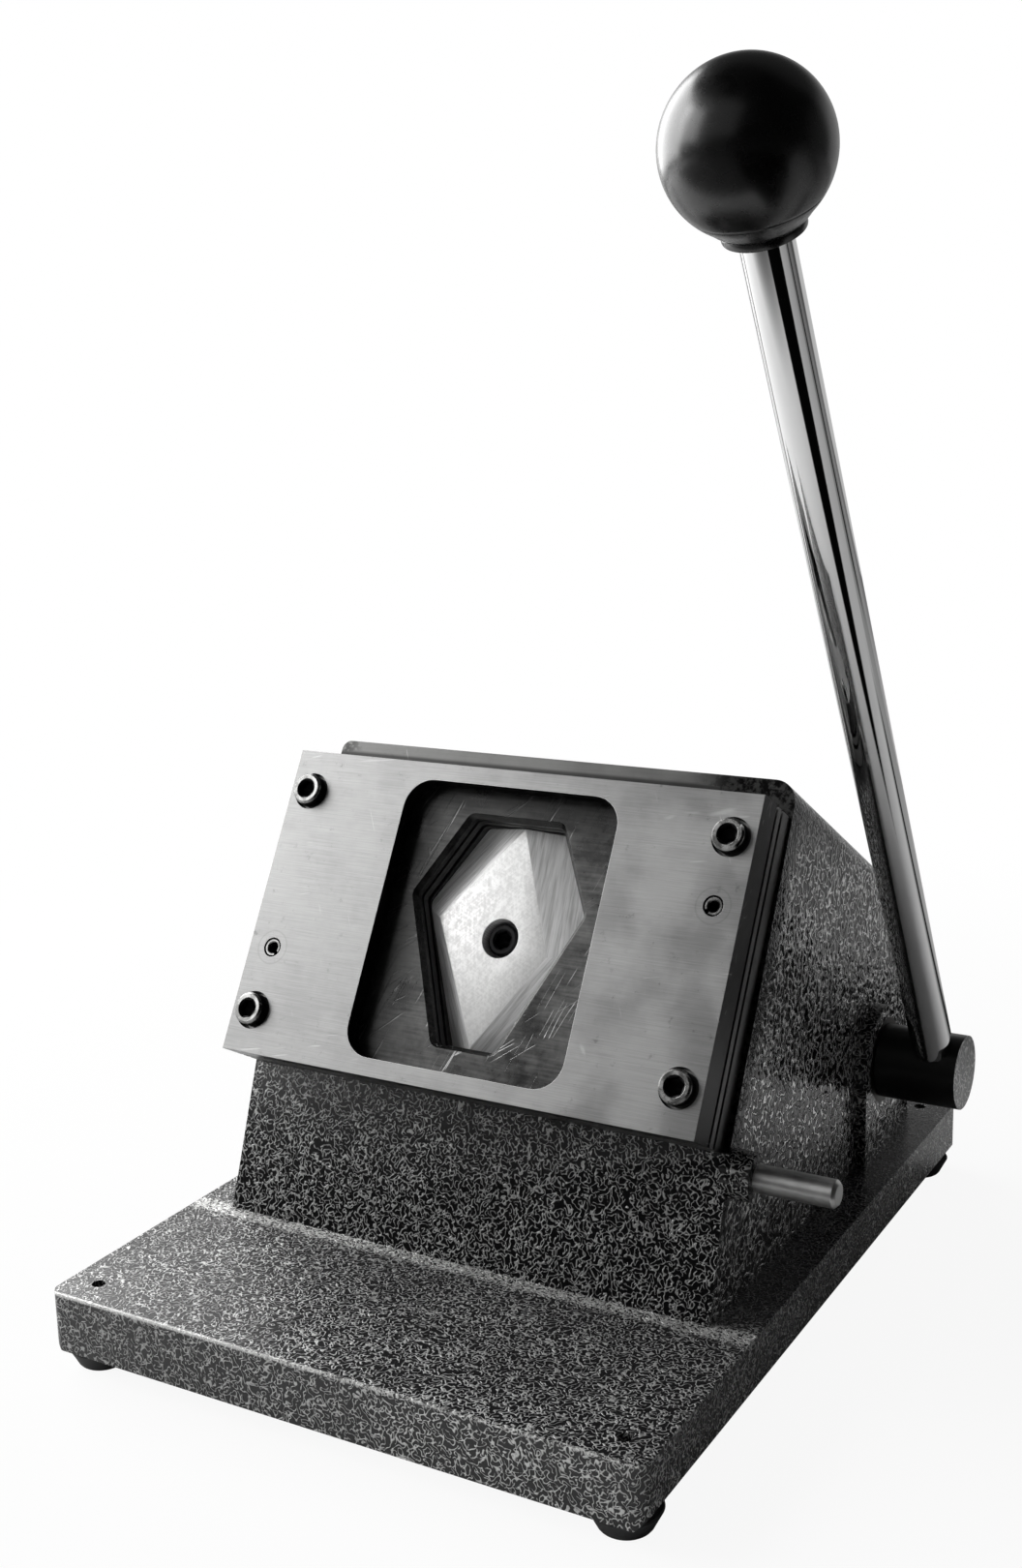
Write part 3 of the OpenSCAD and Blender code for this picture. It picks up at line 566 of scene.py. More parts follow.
# Blacked in hot salt and oiled: nearly black, with a soft sheen.
black_oxide = plain("black_oxide_steel", "#1c1c1d", "#0c0c0d", 0.8, 0.36)
# The pocket's rim takes pale steel without sharp reflections: a painted highlight.
rim_highlight = plain("painted_highlight_rim_steel", "#ffffff", "#eaeae9", 0.2, 0.5, size_mm=2.0)
# Black oxide that keys have worn through is a light, uneven ring.
worn_rim = plain("worn_black_oxide_rim", "#a8a8a7", "#6a6a69", 1.0, 0.26, size_mm=3.0)
# Plated and buffed chrome is a mirror with hardly any tone of its own.
chrome = plain("polished_chrome_plate", "#e8e8e8", "#e2e2e2", 1.0, 0.05, vary=0.02, size_mm=40.0)
# Phenolic moulded black and buffed shows one soft highlight.
phenolic = plain("polished_phenolic", "#050505", "#030303", 0.0, 0.27, vary=0.03, mirror=0.85)
# Sprayed black enamel that hands have dulled has a broad, weak gloss.
shaft_black = plain("black_gloss_paint", "#060606", "#040404", 0.0, 0.42, coat=0.1)
# Cold drawn bar is bright, with faint grey clouds.
bright_steel = plain("drawn_bright_steel", "#a2a2a1", "#6d6d6c", 1.0, 0.3, size_mm=3.0)
# A hardened and ground dowel is paler and more even than drawn bar.
pin_steel = plain("ground_dowel_steel", "#d8d8d7", "#c0c0bf", 1.0, 0.4, size_mm=12.0)
# Bronze turned from bar is warm and fairly bright.
bronze = plain("turned_bronze", "#8e7347", "#7a6038", 1.0, 0.32)
# Bronze pressed from powder and soaked in oil is dark and shines little.
oiled_bronze = plain("oiled_sintered_bronze", "#3c3a36", "#2a2926", 0.8, 0.42)
# Hard drawn wire under a film of oil is mid grey with soft highlights.
spring_wire = plain("oiled_spring_wire", "#6a6a69", "#424242", 1.0, 0.34)
# Rubber from a blasted mould is matt: its fine grain spreads the light.
foot_rubber = plain("moulded_rubber", "#2a2a2b", "#1c1c1d", 0.0, 0.7, lift=0.03)
print("plain finishes:", chrome.name, phenolic.name, black_oxide.name)

# %% [markdown]
# Each CAD node gets the finish that its real piece has. A node that no copy replaces later keeps
# this finish as it is, and a copy takes its first finish from the same list.

# %% A finish for each CAD node
FINISH = {
    "base_plate": base_paint, "rubber_feet": foot_rubber, "foot_screws": bright_steel,
    "housing": casting_paint, "housing_bolts": black_oxide, "die_plate": plate_steel,
    "slot_spacers": shim_dark, "stripper_plate": stack_steel, "shim_frame": shim_dark,
    "guide_plate": stack_steel, "plate_screws": black_oxide, "roll_pins": bright_steel,
    "punch": punch_steel, "punch_screw": black_oxide, "punch_dowel": bright_steel,
    "ram": bright_steel, "ram_bush": bronze, "return_springs": spring_wire,
    "lever_shaft": shaft_black, "cam": stack_steel, "cam_key": bright_steel,
    "shaft_bush_left": oiled_bronze, "shaft_bush_right": oiled_bronze, "shaft_washer": bright_steel,
    "shaft_circlip": spring_wire, "lever_rod": chrome, "knob": phenolic,
    "knob_insert": bronze, "lever_set_screw": black_oxide, "stop_pin": pin_steel,
    "rear_cover": casting_paint, "cover_screws": bright_steel,
}
for name, node in NODES.items():
    node.data.materials.clear()
    node.data.materials.append(FINISH[name])
print("finishes on", len(FINISH), "nodes")

# %% [markdown]
# A real edge is never perfectly sharp: it was filed, cast or worn round, and that thin curve is
# what catches the light. A CAD solid has knife edges, so the visible pieces are copied, their loose
# triangles are merged and flattened into whole faces, and a Bevel modifier rounds the edges. The
# bevel takes its size from a weight on each edge, so that a cast edge can be rounder than a
# machined one. The result goes back into a plain mesh, which stands for the CAD node.

# %% Objects, modifiers and shading
def new_object(name, mesh):
    """A named object at the origin of the row frame."""
    made = bpy.data.objects.new(name, mesh)
    scene.collection.objects.link(made)
    return made


def evaluated_mesh(obj):
    """The mesh that an object's modifiers make."""
    bpy.context.view_layer.update()
    graph = bpy.context.evaluated_depsgraph_get()
    return bpy.data.meshes.new_from_object(obj.evaluated_get(graph), depsgraph=graph)


def smooth_by_angle(mesh, angle_deg):
    """Smooth shading, with sharp edges only where two faces meet at more than this angle."""
    built = bmesh.new()
    built.from_mesh(mesh)
    for face in built.faces:
        face.smooth = True
    for edge in built.edges:
        edge.smooth = len(edge.link_faces) == 2 and edge.calc_face_angle(0) < math.radians(angle_deg)
    built.to_mesh(mesh)
    built.free()


def flat_faced(obj):
    """Bakes normals that keep large faces flat and let only the rounded edges curve."""
    smooth_by_angle(obj.data, 35)
    weighted = obj.modifiers.new("flat", "WEIGHTED_NORMAL")
    weighted.mode = "FACE_AREA"
    weighted.weight = 50
    weighted.keep_sharp = True
    done = evaluated_mesh(obj)
    obj.modifiers.clear()
    obj.data = done


def on_slant(point):
    """A point of the row frame in the slant's own axes."""
    return SLANT.inverted() @ point


print("the shaft in the slant's axes:", [round(v / MM, 2) for v in on_slant(SHAFT_POINT)], "mm")

# %% [markdown]
# Three steps are the same for every copied piece. Its triangles are merged, its edges are rounded
# and it takes its node's finish from the list, and it rides on that node's body while the node is
# hidden.

# %% Soften a CAD node's edges
WELD = 2e-6
FLAT_DEG = 0.4
SHARP_DEG = 28


def merged(node_name):
    """A bmesh of a CAD node with its loose triangles merged into whole faces."""
    built = bmesh.new()
    built.from_mesh(NODES[node_name].data)
    bmesh.ops.remove_doubles(built, verts=built.verts, dist=WELD)
    bmesh.ops.dissolve_limit(
        built, angle_limit=math.radians(FLAT_DEG), verts=built.verts, edges=built.edges
    )
    bmesh.ops.recalc_face_normals(built, faces=built.faces)
    return built


def claim(piece, node_name):
    """Puts a piece on the body of the CAD node that it copies, and hides that node."""
    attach(piece, BODY[node_name])
    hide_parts(node_name)
    return piece


def softened(node_name, width_mm, weight=None, segments=3):
    """A copy of a CAD node with rounded edges; weight(middle, edge) is from 0 to 1."""
    built = merged(node_name)
    layer = built.edges.layers.float.new("bevel_weight_edge")
    for edge in built.edges:
        if len(edge.link_faces) != 2 or edge.calc_face_angle(0) < math.radians(SHARP_DEG):
            continue
        middle = (edge.verts[0].co + edge.verts[1].co) / 2
        edge[layer] = weight(middle, edge) if weight else 1.0
    mesh = bpy.data.meshes.new(node_name + "_body")
    built.to_mesh(mesh)
    built.free()
    piece = new_object(node_name + "_body", mesh)
    bevel = piece.modifiers.new("edges", "BEVEL")
    bevel.width = width_mm * MM
    bevel.segments = segments
    bevel.limit_method = "WEIGHT"
    bevel.harden_normals = False
    bevel.miter_outer = "MITER_ARC"
    done = evaluated_mesh(piece)
    piece.modifiers.clear()
    piece.data = done
    flat_faced(piece)
    piece.data.materials.clear()
    piece.data.materials.append(FINISH[node_name])
    return piece


# %% [markdown]
# The base is a flat casting and the rear cover a flat plate, both painted over edges that were
# filed once, so one plain bevel of under a millimetre does for each.

# %% Base slab and rear cover
base = claim(softened("base_plate", 0.7), "base_plate")
cover = claim(softened("rear_cover", 0.8), "rear_cover")
print("base faces:", len(base.data.polygons), "cover faces:", len(cover.data.polygons))

# %% [markdown]
# The housing is one iron casting. Sand moulds need rounded edges and fillets, so its outer edges
# and the inner corners round its two bosses take the full bevel. The seat behind the plates is
# milled after casting, so its edges stay nearly sharp, and so do the bored holes. Two more
# finishes go on faces that are known by where they look: bare iron on the milled seat, and the
# thicker coat of paint on the right wall.

# %% Cast housing
SEAT_DEPTH = 21.5 * MM
SEAT_EDGE, FLOOR_EDGE, MACHINED_EDGE = 0.12, 0.1, 0.08
OUTER_EDGE, INNER_CORNER = 0.5, 0.7
HOUSING_REAR = 238 * MM                   # from the base's front edge
CHAMBER_HALF, CHAMBER_TOP = 70 * MM, 50 * MM
BORE_ZONE_R = 17 * MM                     # round the shaft


def casting_weight(middle, edge):
    """How round an edge of the casting is, as a share of the full bevel, by where it lies."""
    _, up_slant, out_of_slant = on_slant(middle)
    inner = abs(middle.x - BASE_MID) < CHAMBER_HALF
    outer_top = up_slant > CHAMBER_TOP
    outer_rear = middle.y > BASE_EDGE_Y + HOUSING_REAR - 1 * MM
    if out_of_slant > -(SEAT_DEPTH + 1.5 * MM):
        return SEAT_EDGE
    if middle.z < BASE_TOP_Z + 0.2 * MM:
        return FLOOR_EDGE
    if (middle - SHAFT_POINT).yz.length < BORE_ZONE_R:
        return MACHINED_EDGE
    if inner and not outer_top and not outer_rear:
        return MACHINED_EDGE
    return OUTER_EDGE if edge.is_convex else INNER_CORNER


housing = claim(softened("housing", 3.0, casting_weight), "housing")
housing.data.materials.append(milled_iron)
housing.data.materials.append(side_paint)
seat_faces = 0
for face in housing.data.polygons:
    if abs(on_slant(face.center)[2] + SEAT_DEPTH) < 0.1 * MM and face.normal.dot(NORMAL) > 0.99:
        face.material_index = 1
        seat_faces += 1
    elif face.normal.x > 0.6:
        face.material_index = 2
print("housing faces:", len(housing.data.polygons), "milled:", seat_faces)

# %% [markdown]
# The die plate needs four finishes: the brushed front, the dark pocket, the near-black edges and
# the pocket's rim, which carries a painted highlight. The faces of each are known by where they lie
# and look, so they take a material slot of their own. The plates behind it are bevelled copies
# too, with finer edges.

# %% Die plate and the stack behind it
WINDOW = Vector((72.8, 86.2)) * MM / 2
POCKET, EDGE, RIM = 1, 2, 3

die_plate = claim(softened("die_plate", 0.45), "die_plate")
for finish in (pocket_steel, edge_steel, rim_highlight):
    die_plate.data.materials.append(finish)


def inside_window(local, margin):
    """Whether a point in the slant's axes lies inside the window, grown by a margin."""
    return abs(local[0]) < WINDOW[0] + margin and abs(local[1]) < WINDOW[1] + margin


faces_of = {POCKET: 0, EDGE: 0, RIM: 0}
for face in die_plate.data.polygons:
    local = on_slant(face.center)
    out = face.normal.dot(NORMAL)
    in_window = inside_window(local, 0.2 * MM)
    kind = 0
    # The rim's bevel faces take the pale painted highlight.
    if inside_window(local, 1.0 * MM) and local[2] > -0.6 * MM and 0.1 < out < 0.98:
        kind = RIM
    elif in_window and local[2] < -0.45 * MM:
        kind = POCKET
    elif not in_window and abs(out) < 0.3:
        kind = EDGE
    if kind:
        face.material_index = kind
        faces_of[kind] += 1
for stacked, width in (("stripper_plate", 0.25), ("shim_frame", 0.2), ("guide_plate", 0.3)):
    claim(softened(stacked, width), stacked)
print("faces of the pocket, the edges and the rim:", list(faces_of.values()))

# %% [markdown]
# The punch has a lapped flat and four ground bevels. A bevel's grinding lines run level across its
# slope, except on the upper right one, where they run slanting down it. The UV map holds
# millimetres, U along the lines and V across them, and the walls' lines run along the punch.

# %% Punch with its grinding lines
def ground_punch():
    """The punch with a UV map that follows each face's grinding direction."""
    piece = softened("punch", 0.18, segments=2)
    mesh = piece.data
    mesh.materials.append(punch_flat)
    uv = mesh.uv_layers.new(name="grind")
    to_slant = SLANT.inverted().to_3x3()
    for face in mesh.polygons:
        normal = (to_slant @ face.normal).normalized()
        if normal[2] > 0.995:
            face.material_index = 1
            along = Vector((1, 0, 0))
        elif normal[2] > 0.3:
            across = Vector((normal[0], normal[1], 0)).normalized()
            along = Vector((-across[1], across[0], 0))
            if across[0] > 0 and across[1] > 0:
                along = across * 0.35 + along
        else:
            along = Vector((0, 0, 1))
        along = (along - normal * along.dot(normal)).normalized()
        across = normal.cross(along)
        for corner in face.loop_indices:
            point = on_slant(mesh.vertices[mesh.loops[corner].vertex_index].co)
            uv.data[corner].uv = (point.dot(along) / MM, point.dot(across) / MM)
    return claim(piece, "punch")


punch = ground_punch()
print("punch faces:", len(punch.data.polygons))

# %% [markdown]
# A turned part is a profile spun round an axis. One helper makes such a mesh from a list of radius
# and height pairs, ring by ring. A radius may also be a function of the angle, which is how the
# same rings can end in a hexagon for a key, or carry the fine knurl round a cap screw's head. A
# hollow part has no ends: its last ring joins its first.

# %% Turned parts
def finished(built, name, place=None):
    """A shaded mesh from a bmesh, with its faces turned outwards."""
    bmesh.ops.recalc_face_normals(built, faces=built.faces)
    mesh = bpy.data.meshes.new(name)
    built.to_mesh(mesh)
    built.free()
    if place is not None:
        mesh.transform(place)
    smooth_by_angle(mesh, 30)
    return mesh


def bridged(built, low, high, material=0):
    """A band of faces between two rings of points."""
    for k in range(len(low)):
        n = (k + 1) % len(low)
        built.faces.new((low[k], low[n], high[n], high[k])).material_index = material


def turned(name, rings, steps=96, place=None, finishes=None, hollow=False):
    """A mesh of rings (radius, height); finishes gives each band of faces a material index."""
    built = bmesh.new()
    bands = []
    for radius, height in rings:
        row = []
        for k in range(steps):
            angle = 2 * math.pi * k / steps
            r = radius(angle) if callable(radius) else radius
            row.append(built.verts.new((r * math.cos(angle), r * math.sin(angle), height)))
        bands.append(row)
    finishes = finishes or [0] * len(bands)
    for low, high, material in zip(bands, bands[1:] + bands[:1] * hollow, finishes):
        bridged(built, low, high, material)
    if not hollow:
        for end in (bands[0][::-1], bands[-1]):
            built.faces.new(end).material_index = finishes[-1]
    return finished(built, name, place)


def metres(points):
    """A profile in millimetres, in metres; a radius that is a function stays."""
    return [(r if callable(r) else r * MM, h * MM) for r, h in points]


print("radius 10 and height 5 mm are", metres([(10, 5)])[0], "metres")

# %% [markdown]
# The lever's rod is plain bar with a small chamfer where it enters the shaft. The knob is moulded
# in two halves, which leaves a thin seam below its widest line, and it has a short collar round
# the rod. Both are turned profiles, stood on the lever's own axis.

# %% Lever rod and knob
def arc(centre, radius, start_deg, end_deg, count):
    """Points (radius, height) of an arc for a profile."""
    points = []
    for k in range(count + 1):
        angle = math.radians(start_deg + (end_deg - start_deg) * k / count)
        points.append((centre[0] + radius * math.cos(angle), centre[1] + radius * math.sin(angle)))
    return points


KNOB_R, KNOB_FLAT = 20.0, 18.0            # the ball, and its flat below its centre
COLLAR_L, COLLAR_R = 2.0, 10.0
ROD_R, TENON_R, STUD_R = 6.5, 4.95, 3.95  # the bar, its end in the shaft and its end in the knob
INSERT_R, STUD_L = 7.0, 22.0
KNOB_AT = LEVER_L / MM
ROD_SEAT, ROD_TOP = 10.3, KNOB_AT - KNOB_FLAT - COLLAR_L
ROD_PARTS = 12
SEAM_AT, NECK_AT = -38, -49.5             # degrees below the ball's widest line

rod_rings = [(TENON_R, -7.0), (TENON_R, ROD_SEAT), (ROD_R - 0.5, ROD_SEAT), (ROD_R, ROD_SEAT + 0.5)]
rod_rings += [(ROD_R, ROD_SEAT + k * (ROD_TOP - ROD_SEAT) / ROD_PARTS) for k in range(1, ROD_PARTS)]
rod_rings += [(ROD_R, ROD_TOP - 0.3), (ROD_R - 0.3, ROD_TOP), (STUD_R, ROD_TOP), (STUD_R, ROD_TOP + STUD_L)]
rod = new_object("lever_rod_bar", turned("lever_rod_bar", metres(rod_rings), place=LEVER))
rod.data.materials.append(chrome)
claim(rod, "lever_rod")

knob_rings = [(INSERT_R, ROD_TOP + STUD_L), (INSERT_R, ROD_TOP), (COLLAR_R - 0.4, ROD_TOP)]
knob_rings += [(COLLAR_R - 0.1, ROD_TOP + 0.12), (COLLAR_R, ROD_TOP + 0.4), (COLLAR_R, ROD_TOP + 1.7)]
knob_rings += [(COLLAR_R - 0.15, ROD_TOP + 2.0), (COLLAR_R + 0.3, ROD_TOP + 2.15), (11.65, KNOB_AT - 16.6)]
knob_rings += [(r, KNOB_AT + h) for r, h in arc((0, 0), KNOB_R, NECK_AT, SEAM_AT - 1.0, 10)]
for step, push in ((-0.5, -0.07), (0.0, -0.22), (0.5, -0.07)):
    angle = math.radians(SEAM_AT + step)
    seam_r = KNOB_R + push
    knob_rings.append((seam_r * math.cos(angle), KNOB_AT + seam_r * math.sin(angle)))
knob_rings += [(r, KNOB_AT + h) for r, h in arc((0, 0), KNOB_R, SEAM_AT + 1.0, 89.0, 56)]
knob_ball = new_object("knob_ball", turned("knob_ball", metres(knob_rings), 128, LEVER))
knob_ball.data.materials.append(phenolic)
claim(knob_ball, "knob")
knob_centre = LEVER @ Vector((0, 0, LEVER_L))
print("rod length", round(ROD_TOP - ROD_SEAT, 1), "mm, knob at", [round(v, 3) for v in knob_centre])

# %% [markdown]
# The shaft's round head is painted. Its side wore smooth and looks plain black, and its end face
# kept the hammertone's worms, so the copy of the CAD shaft takes two finishes, told apart by which
# way a face looks. The stop pin is a bright dowel with a small chamfer, already in the CAD solid.
# The turned pieces inside, which a pose can bring into view, get their soft edges here as well.

# %% Shaft and stop pin
shaft = claim(softened("lever_shaft", 0.5), "lever_shaft")
shaft.data.materials.append(end_paint)
end_x = max(v.co.x for v in shaft.data.vertices)
for face in shaft.data.polygons:
    if face.normal.x > 0.9 and face.center.x > end_x - 0.5 * MM:
        face.material_index = 1
claim(softened("stop_pin", 0.15, segments=2), "stop_pin")
for small, width in (("shaft_washer", 0.2), ("shaft_circlip", 0.15), ("cam", 0.4), ("ram", 0.5)):
    claim(softened(small, width, segments=2), small)
print("shaft ends at x", round(end_x, 4))

# %% [markdown]
# Screws repeat, and in Blender what repeats is Geometry Nodes' work. One small tree takes the
# points where the screws go, puts a copy of one modelled screw on each, turns each copy by its own
# random angle, since no fitter lines their keys up, makes the copies real and sets the finish. The
# fixed seed makes them come out the same each time. A plain mesh is then taken from the result.

# %% Geometry Nodes: one part on many points
def scatter_tree(name):
    """A tree that puts a part on each point, turned by a random angle about its own axis."""
    tree = bpy.data.node_groups.new(name, "GeometryNodeTree")
    face = tree.interface
    face.new_socket("Geometry", in_out="INPUT", socket_type="NodeSocketGeometry")
    for label, kind in (
        ("Part", "Object"), ("Spin", "Float"), ("Seed", "Int"), ("Body", "Material"), ("Rim", "Material"),
    ):
        face.new_socket(label, in_out="INPUT", socket_type="NodeSocket" + kind)
    face.new_socket("Geometry", in_out="OUTPUT", socket_type="NodeSocketGeometry")
    given = add(tree, "NodeGroupInput", out=None).outputs
    part = add(tree, "GeometryNodeObjectInfo", {"Object": given["Part"]}, out="Geometry")
    turn = add(tree, "GeometryNodeInputNamedAttribute", {"Name": "turn"}, data_type="FLOAT_VECTOR")
    chance = add(tree, "FunctionNodeRandomValue", {"Seed": given["Seed"]}, data_type="FLOAT", out=1)
    angle = add(tree, "Math", chance, given["Spin"], operation="MULTIPLY")
    stood = add(tree, "FunctionNodeEulerToRotation", turn)
    spun = add(tree, "FunctionNodeEulerToRotation", add(tree, "CombineXYZ", {"Z": angle}))
    both = add(tree, "FunctionNodeRotateRotation", stood, spun, rotation_space="LOCAL")
    put = add(tree, "GeometryNodeInstanceOnPoints", {
        "Points": given["Geometry"], "Instance": part, "Rotation": both,
    })
    real = add(tree, "GeometryNodeRealizeInstances", put)
    body = add(tree, "GeometryNodeSetMaterial", {"Geometry": real, "Material": given["Body"]})
    worn = add(tree, "GeometryNodeInputNamedAttribute", {"Name": "worn"}, data_type="BOOLEAN")
    rim = {"Geometry": body, "Selection": worn, "Material": given["Rim"]}
    add(tree, "NodeGroupOutput", add(tree, "GeometryNodeSetMaterial", rim))
    return tree


SCATTER = scatter_tree("part_on_points")
print("one tree,", len(SCATTER.nodes), "nodes, places every screw, pin and foot")

# %% [markdown]
# A helper gives the tree its points, its part and its settings, and takes the plain mesh. Where a
# part's faces use its second material slot, such as a screw's rubbed rim, an attribute remembers
# them, because the tree sets both finishes at its end.

# %% Put a part on its places
def scattered(name, part_mesh, places, body_finish, rim_finish=None, spin=0.0, seed=7):
    """One mesh with a copy of part_mesh at each place, which is a matrix."""
    points = bpy.data.meshes.new(name)
    points.from_pydata([m.translation for m in places], [], [])
    turns = points.attributes.new("turn", "FLOAT_VECTOR", "POINT")
    for i, m in enumerate(places):
        turns.data[i].vector = m.to_euler()
    holder = new_object(name, points)
    part = new_object(name + "_part", part_mesh)
    worn = [face.material_index == 1 for face in part_mesh.polygons]
    part_mesh.attributes.new("worn", "BOOLEAN", "FACE").data.foreach_set("value", worn)
    part_mesh.polygons.foreach_set("material_index", [0] * len(worn))
    tree = holder.modifiers.new("copies", "NODES")
    tree.node_group = SCATTER
    names = {i.name: i.identifier for i in SCATTER.interface.items_tree if i.in_out == "INPUT"}
    tree[names["Part"]] = part
    tree[names["Spin"]] = spin
    tree[names["Seed"]] = seed
    tree[names["Body"]] = body_finish
    tree[names["Rim"]] = rim_finish or body_finish
    done = evaluated_mesh(holder)
    holder.modifiers.clear()
    holder.data = done
    bpy.data.objects.remove(part)
    return holder


inputs = [i.name for i in SCATTER.interface.items_tree if i.in_out == "INPUT"]
print("the tree's inputs:", ", ".join(inputs))

# %% [markdown]
# A socket-head cap screw has a knurled head, a chamfered rim that tools polish bright, and a
# hexagon socket with a drilled, conical bottom. Its rings run from the end of the shank up the
# outside, over the rim and down into the socket.

# %% Cap screws
def hexagon(across_flats):
    """Radius of a hexagon at an angle, for a socket."""
    apothem = across_flats / 2

    def radius(angle):
        sector = math.radians(60)
        return apothem / math.cos((angle + sector / 2) % sector - sector / 2)
    return radius


def knurl(radius, teeth, depth):
    """A round radius with fine teeth."""
    return lambda angle: radius - depth * (0.5 + 0.5 * math.cos(angle * teeth))


def cap_screw(head_d, head_h, shank_d, length, key, key_t):
    """A cap screw whose head's top is at height 0; sizes in millimetres."""
    head_r, shank_r, bottom = head_d / 2, shank_d / 2, -head_h
    grip = knurl(head_r * MM, 32, 0.12 * MM)
    rings = [
        (shank_r * 0.7, bottom - length), (shank_r, bottom - length + shank_r * 0.4), (shank_r, bottom),
        (head_r - 0.3, bottom), (grip, bottom + 0.4), (grip, -1.0), (head_r - 0.12, -0.85),
        (head_r - 0.2, -0.55), (head_r - 0.75, 0.0), (key / 2 + 0.75, 0.0), (key / 2 + 0.62, -0.08),
        (hexagon(key * MM), -0.45), (hexagon(key * MM), -key_t), (0.3, -key_t - key * 0.25),
    ]
    worn_bands = [0] * 6 + [1] * 4 + [0] * 4
    return turned("cap_screw", metres(rings), finishes=worn_bands)


SCREW_X, SCREW_U, SCREW_PROUD = 71.5 * MM, 35.4 * MM, 3.2 * MM
KEY_TURN = math.radians(60)
M6_HEAD = dict(head_d=10, head_h=6, shank_d=5.9, key=5, key_t=3)
plate_places = [
    SLANT @ Matrix.Translation((sx * SCREW_X, su * SCREW_U, SCREW_PROUD))
    for sx in (-1, 1) for su in (-1, 1)
]
plate_screws = scattered(
    "plate_screws_set", cap_screw(length=35.2, **M6_HEAD), plate_places, black_oxide, worn_rim,
    spin=KEY_TURN, seed=11,
)
claim(plate_screws, "plate_screws")
PUNCH_SCREW_DEPTH = (13 + 7.5 - 6) * MM   # the punch's flat, its counterbore, less the head
punch_screw = scattered(
    "punch_screw_set", cap_screw(length=27.2, **M6_HEAD),
    [SLANT @ Matrix.Translation((0, 0, -PUNCH_SCREW_DEPTH))], black_oxide,
    spin=KEY_TURN, seed=3,
)
claim(punch_screw, "punch_screw")
print("cap screws:", len(plate_places) + 1, "faces:", len(plate_screws.data.polygons))

# %% [markdown]
# The spring pins are rolled from strip, so each is a tube with a slit and a rounded end. A slit
# tube is a ring of points that stops short of a full turn, drawn out along the pin, with a wall
# at each side of the slit.

# %% Spring pins
def slit_pin(outer_r, inner_r, length, slit):
    """A rolled pin whose slit looks along +X and whose front end is at height 0."""
    built = bmesh.new()
    steps = 40
    gap = math.asin(slit / 2 / inner_r)
    profile = [
        (inner_r, -length), (outer_r, -length), (outer_r, -0.5), (outer_r - 0.5, 0.0),
        (inner_r + 0.3, 0.0), (inner_r, -0.3),
    ]
    columns = []
    for k in range(steps + 1):
        angle = gap + (2 * math.pi - 2 * gap) * k / steps
        x, y = math.cos(angle) * MM, math.sin(angle) * MM
        columns.append([built.verts.new((r * x, r * y, h * MM)) for r, h in profile])
    for first, second in zip(columns, columns[1:]):
        bridged(built, first, second)
    built.faces.new(columns[0])
    built.faces.new(columns[-1][::-1])
    return finished(built, "slit_pin")


PIN_SUNK = 0.2
pin_places = []
for side, slit_looks_deg in ((-1, -45), (1, 225)):
    place = Matrix.Translation(Vector((side * PIN_AT[0], side * PIN_AT[1], -PIN_SUNK)) * MM)
    pin_places.append(SLANT @ place @ Matrix.Rotation(math.radians(slit_looks_deg), 4, "Z"))
pin_mesh = slit_pin(outer_r=3.0, inner_r=1.7, length=33.8, slit=1.0)
roll_pins = scattered("roll_pins_set", pin_mesh, pin_places, bright_steel)
claim(roll_pins, "roll_pins")
print("spring pins:", len(pin_places))

# %% [markdown]
# The rubber feet are moulded cones with a recess for their screw. They go on their points with the
# same tree.

# %% Rubber feet
FOOT_H = 6.0
FOOT_HOLE_R, FOOT_RECESS_R, FOOT_RECESS_H = 2.05, 4.4, 3.0
FOOT_X, FOOT_Y = 85 * MM, 116 * MM
foot_rings = [
    (FOOT_HOLE_R, FOOT_H), (9.5, FOOT_H), (9.8, FOOT_H - 0.5), (8.6, 3.2), (7.4, 0.8), (7.0, 0.3),
    (6.6, 0.0), (4.8, 0.0), (FOOT_RECESS_R, 0.4), (FOOT_RECESS_R, FOOT_RECESS_H),
    (FOOT_HOLE_R, FOOT_RECESS_H), (FOOT_HOLE_R, FOOT_RECESS_H + 0.1),
]
foot_places = [
    Matrix.Translation((BASE_MID + sx * FOOT_X, sy * FOOT_Y, 0)) for sx in (-1, 1) for sy in (-1, 1)
]
foot_mesh = turned("foot", metres(foot_rings), 64, hollow=True)
feet = scattered("rubber_feet_set", foot_mesh, foot_places, foot_rubber)
claim(feet, "rubber_feet")
print("feet:", len(foot_places))

# %% [markdown]
# The rear cover is held by four button-head screws, whose low domes don't catch a sleeve. The dome
# is an arc of rings that ends in a shallow hexagon socket.

# %% Cover screws
def button_screw(head_d, head_h, shank_d, length, key):
    """A button-head screw whose seat is at height 0."""
    head_r, shank_r = head_d / 2, shank_d / 2
    rings = [(shank_r * 0.7, -length), (shank_r, -length + 0.8), (shank_r, 0.0)]
    rings += [(head_r - 0.2, 0.0), (head_r, 0.25)]
    for a in [math.radians(10 * k) for k in range(1, 10)]:
        inward = head_r * 0.35 * (1 - math.cos(a))
        rings.append((head_r - 0.1 + 0.1 * math.cos(a) - inward, head_h * math.sin(a)))
    rings += [(hexagon(key * MM), head_h - 0.3), (hexagon(key * MM), head_h / 2), (0.2, head_h / 2 - 0.4)]
    return turned("button_screw", metres(rings), 72)


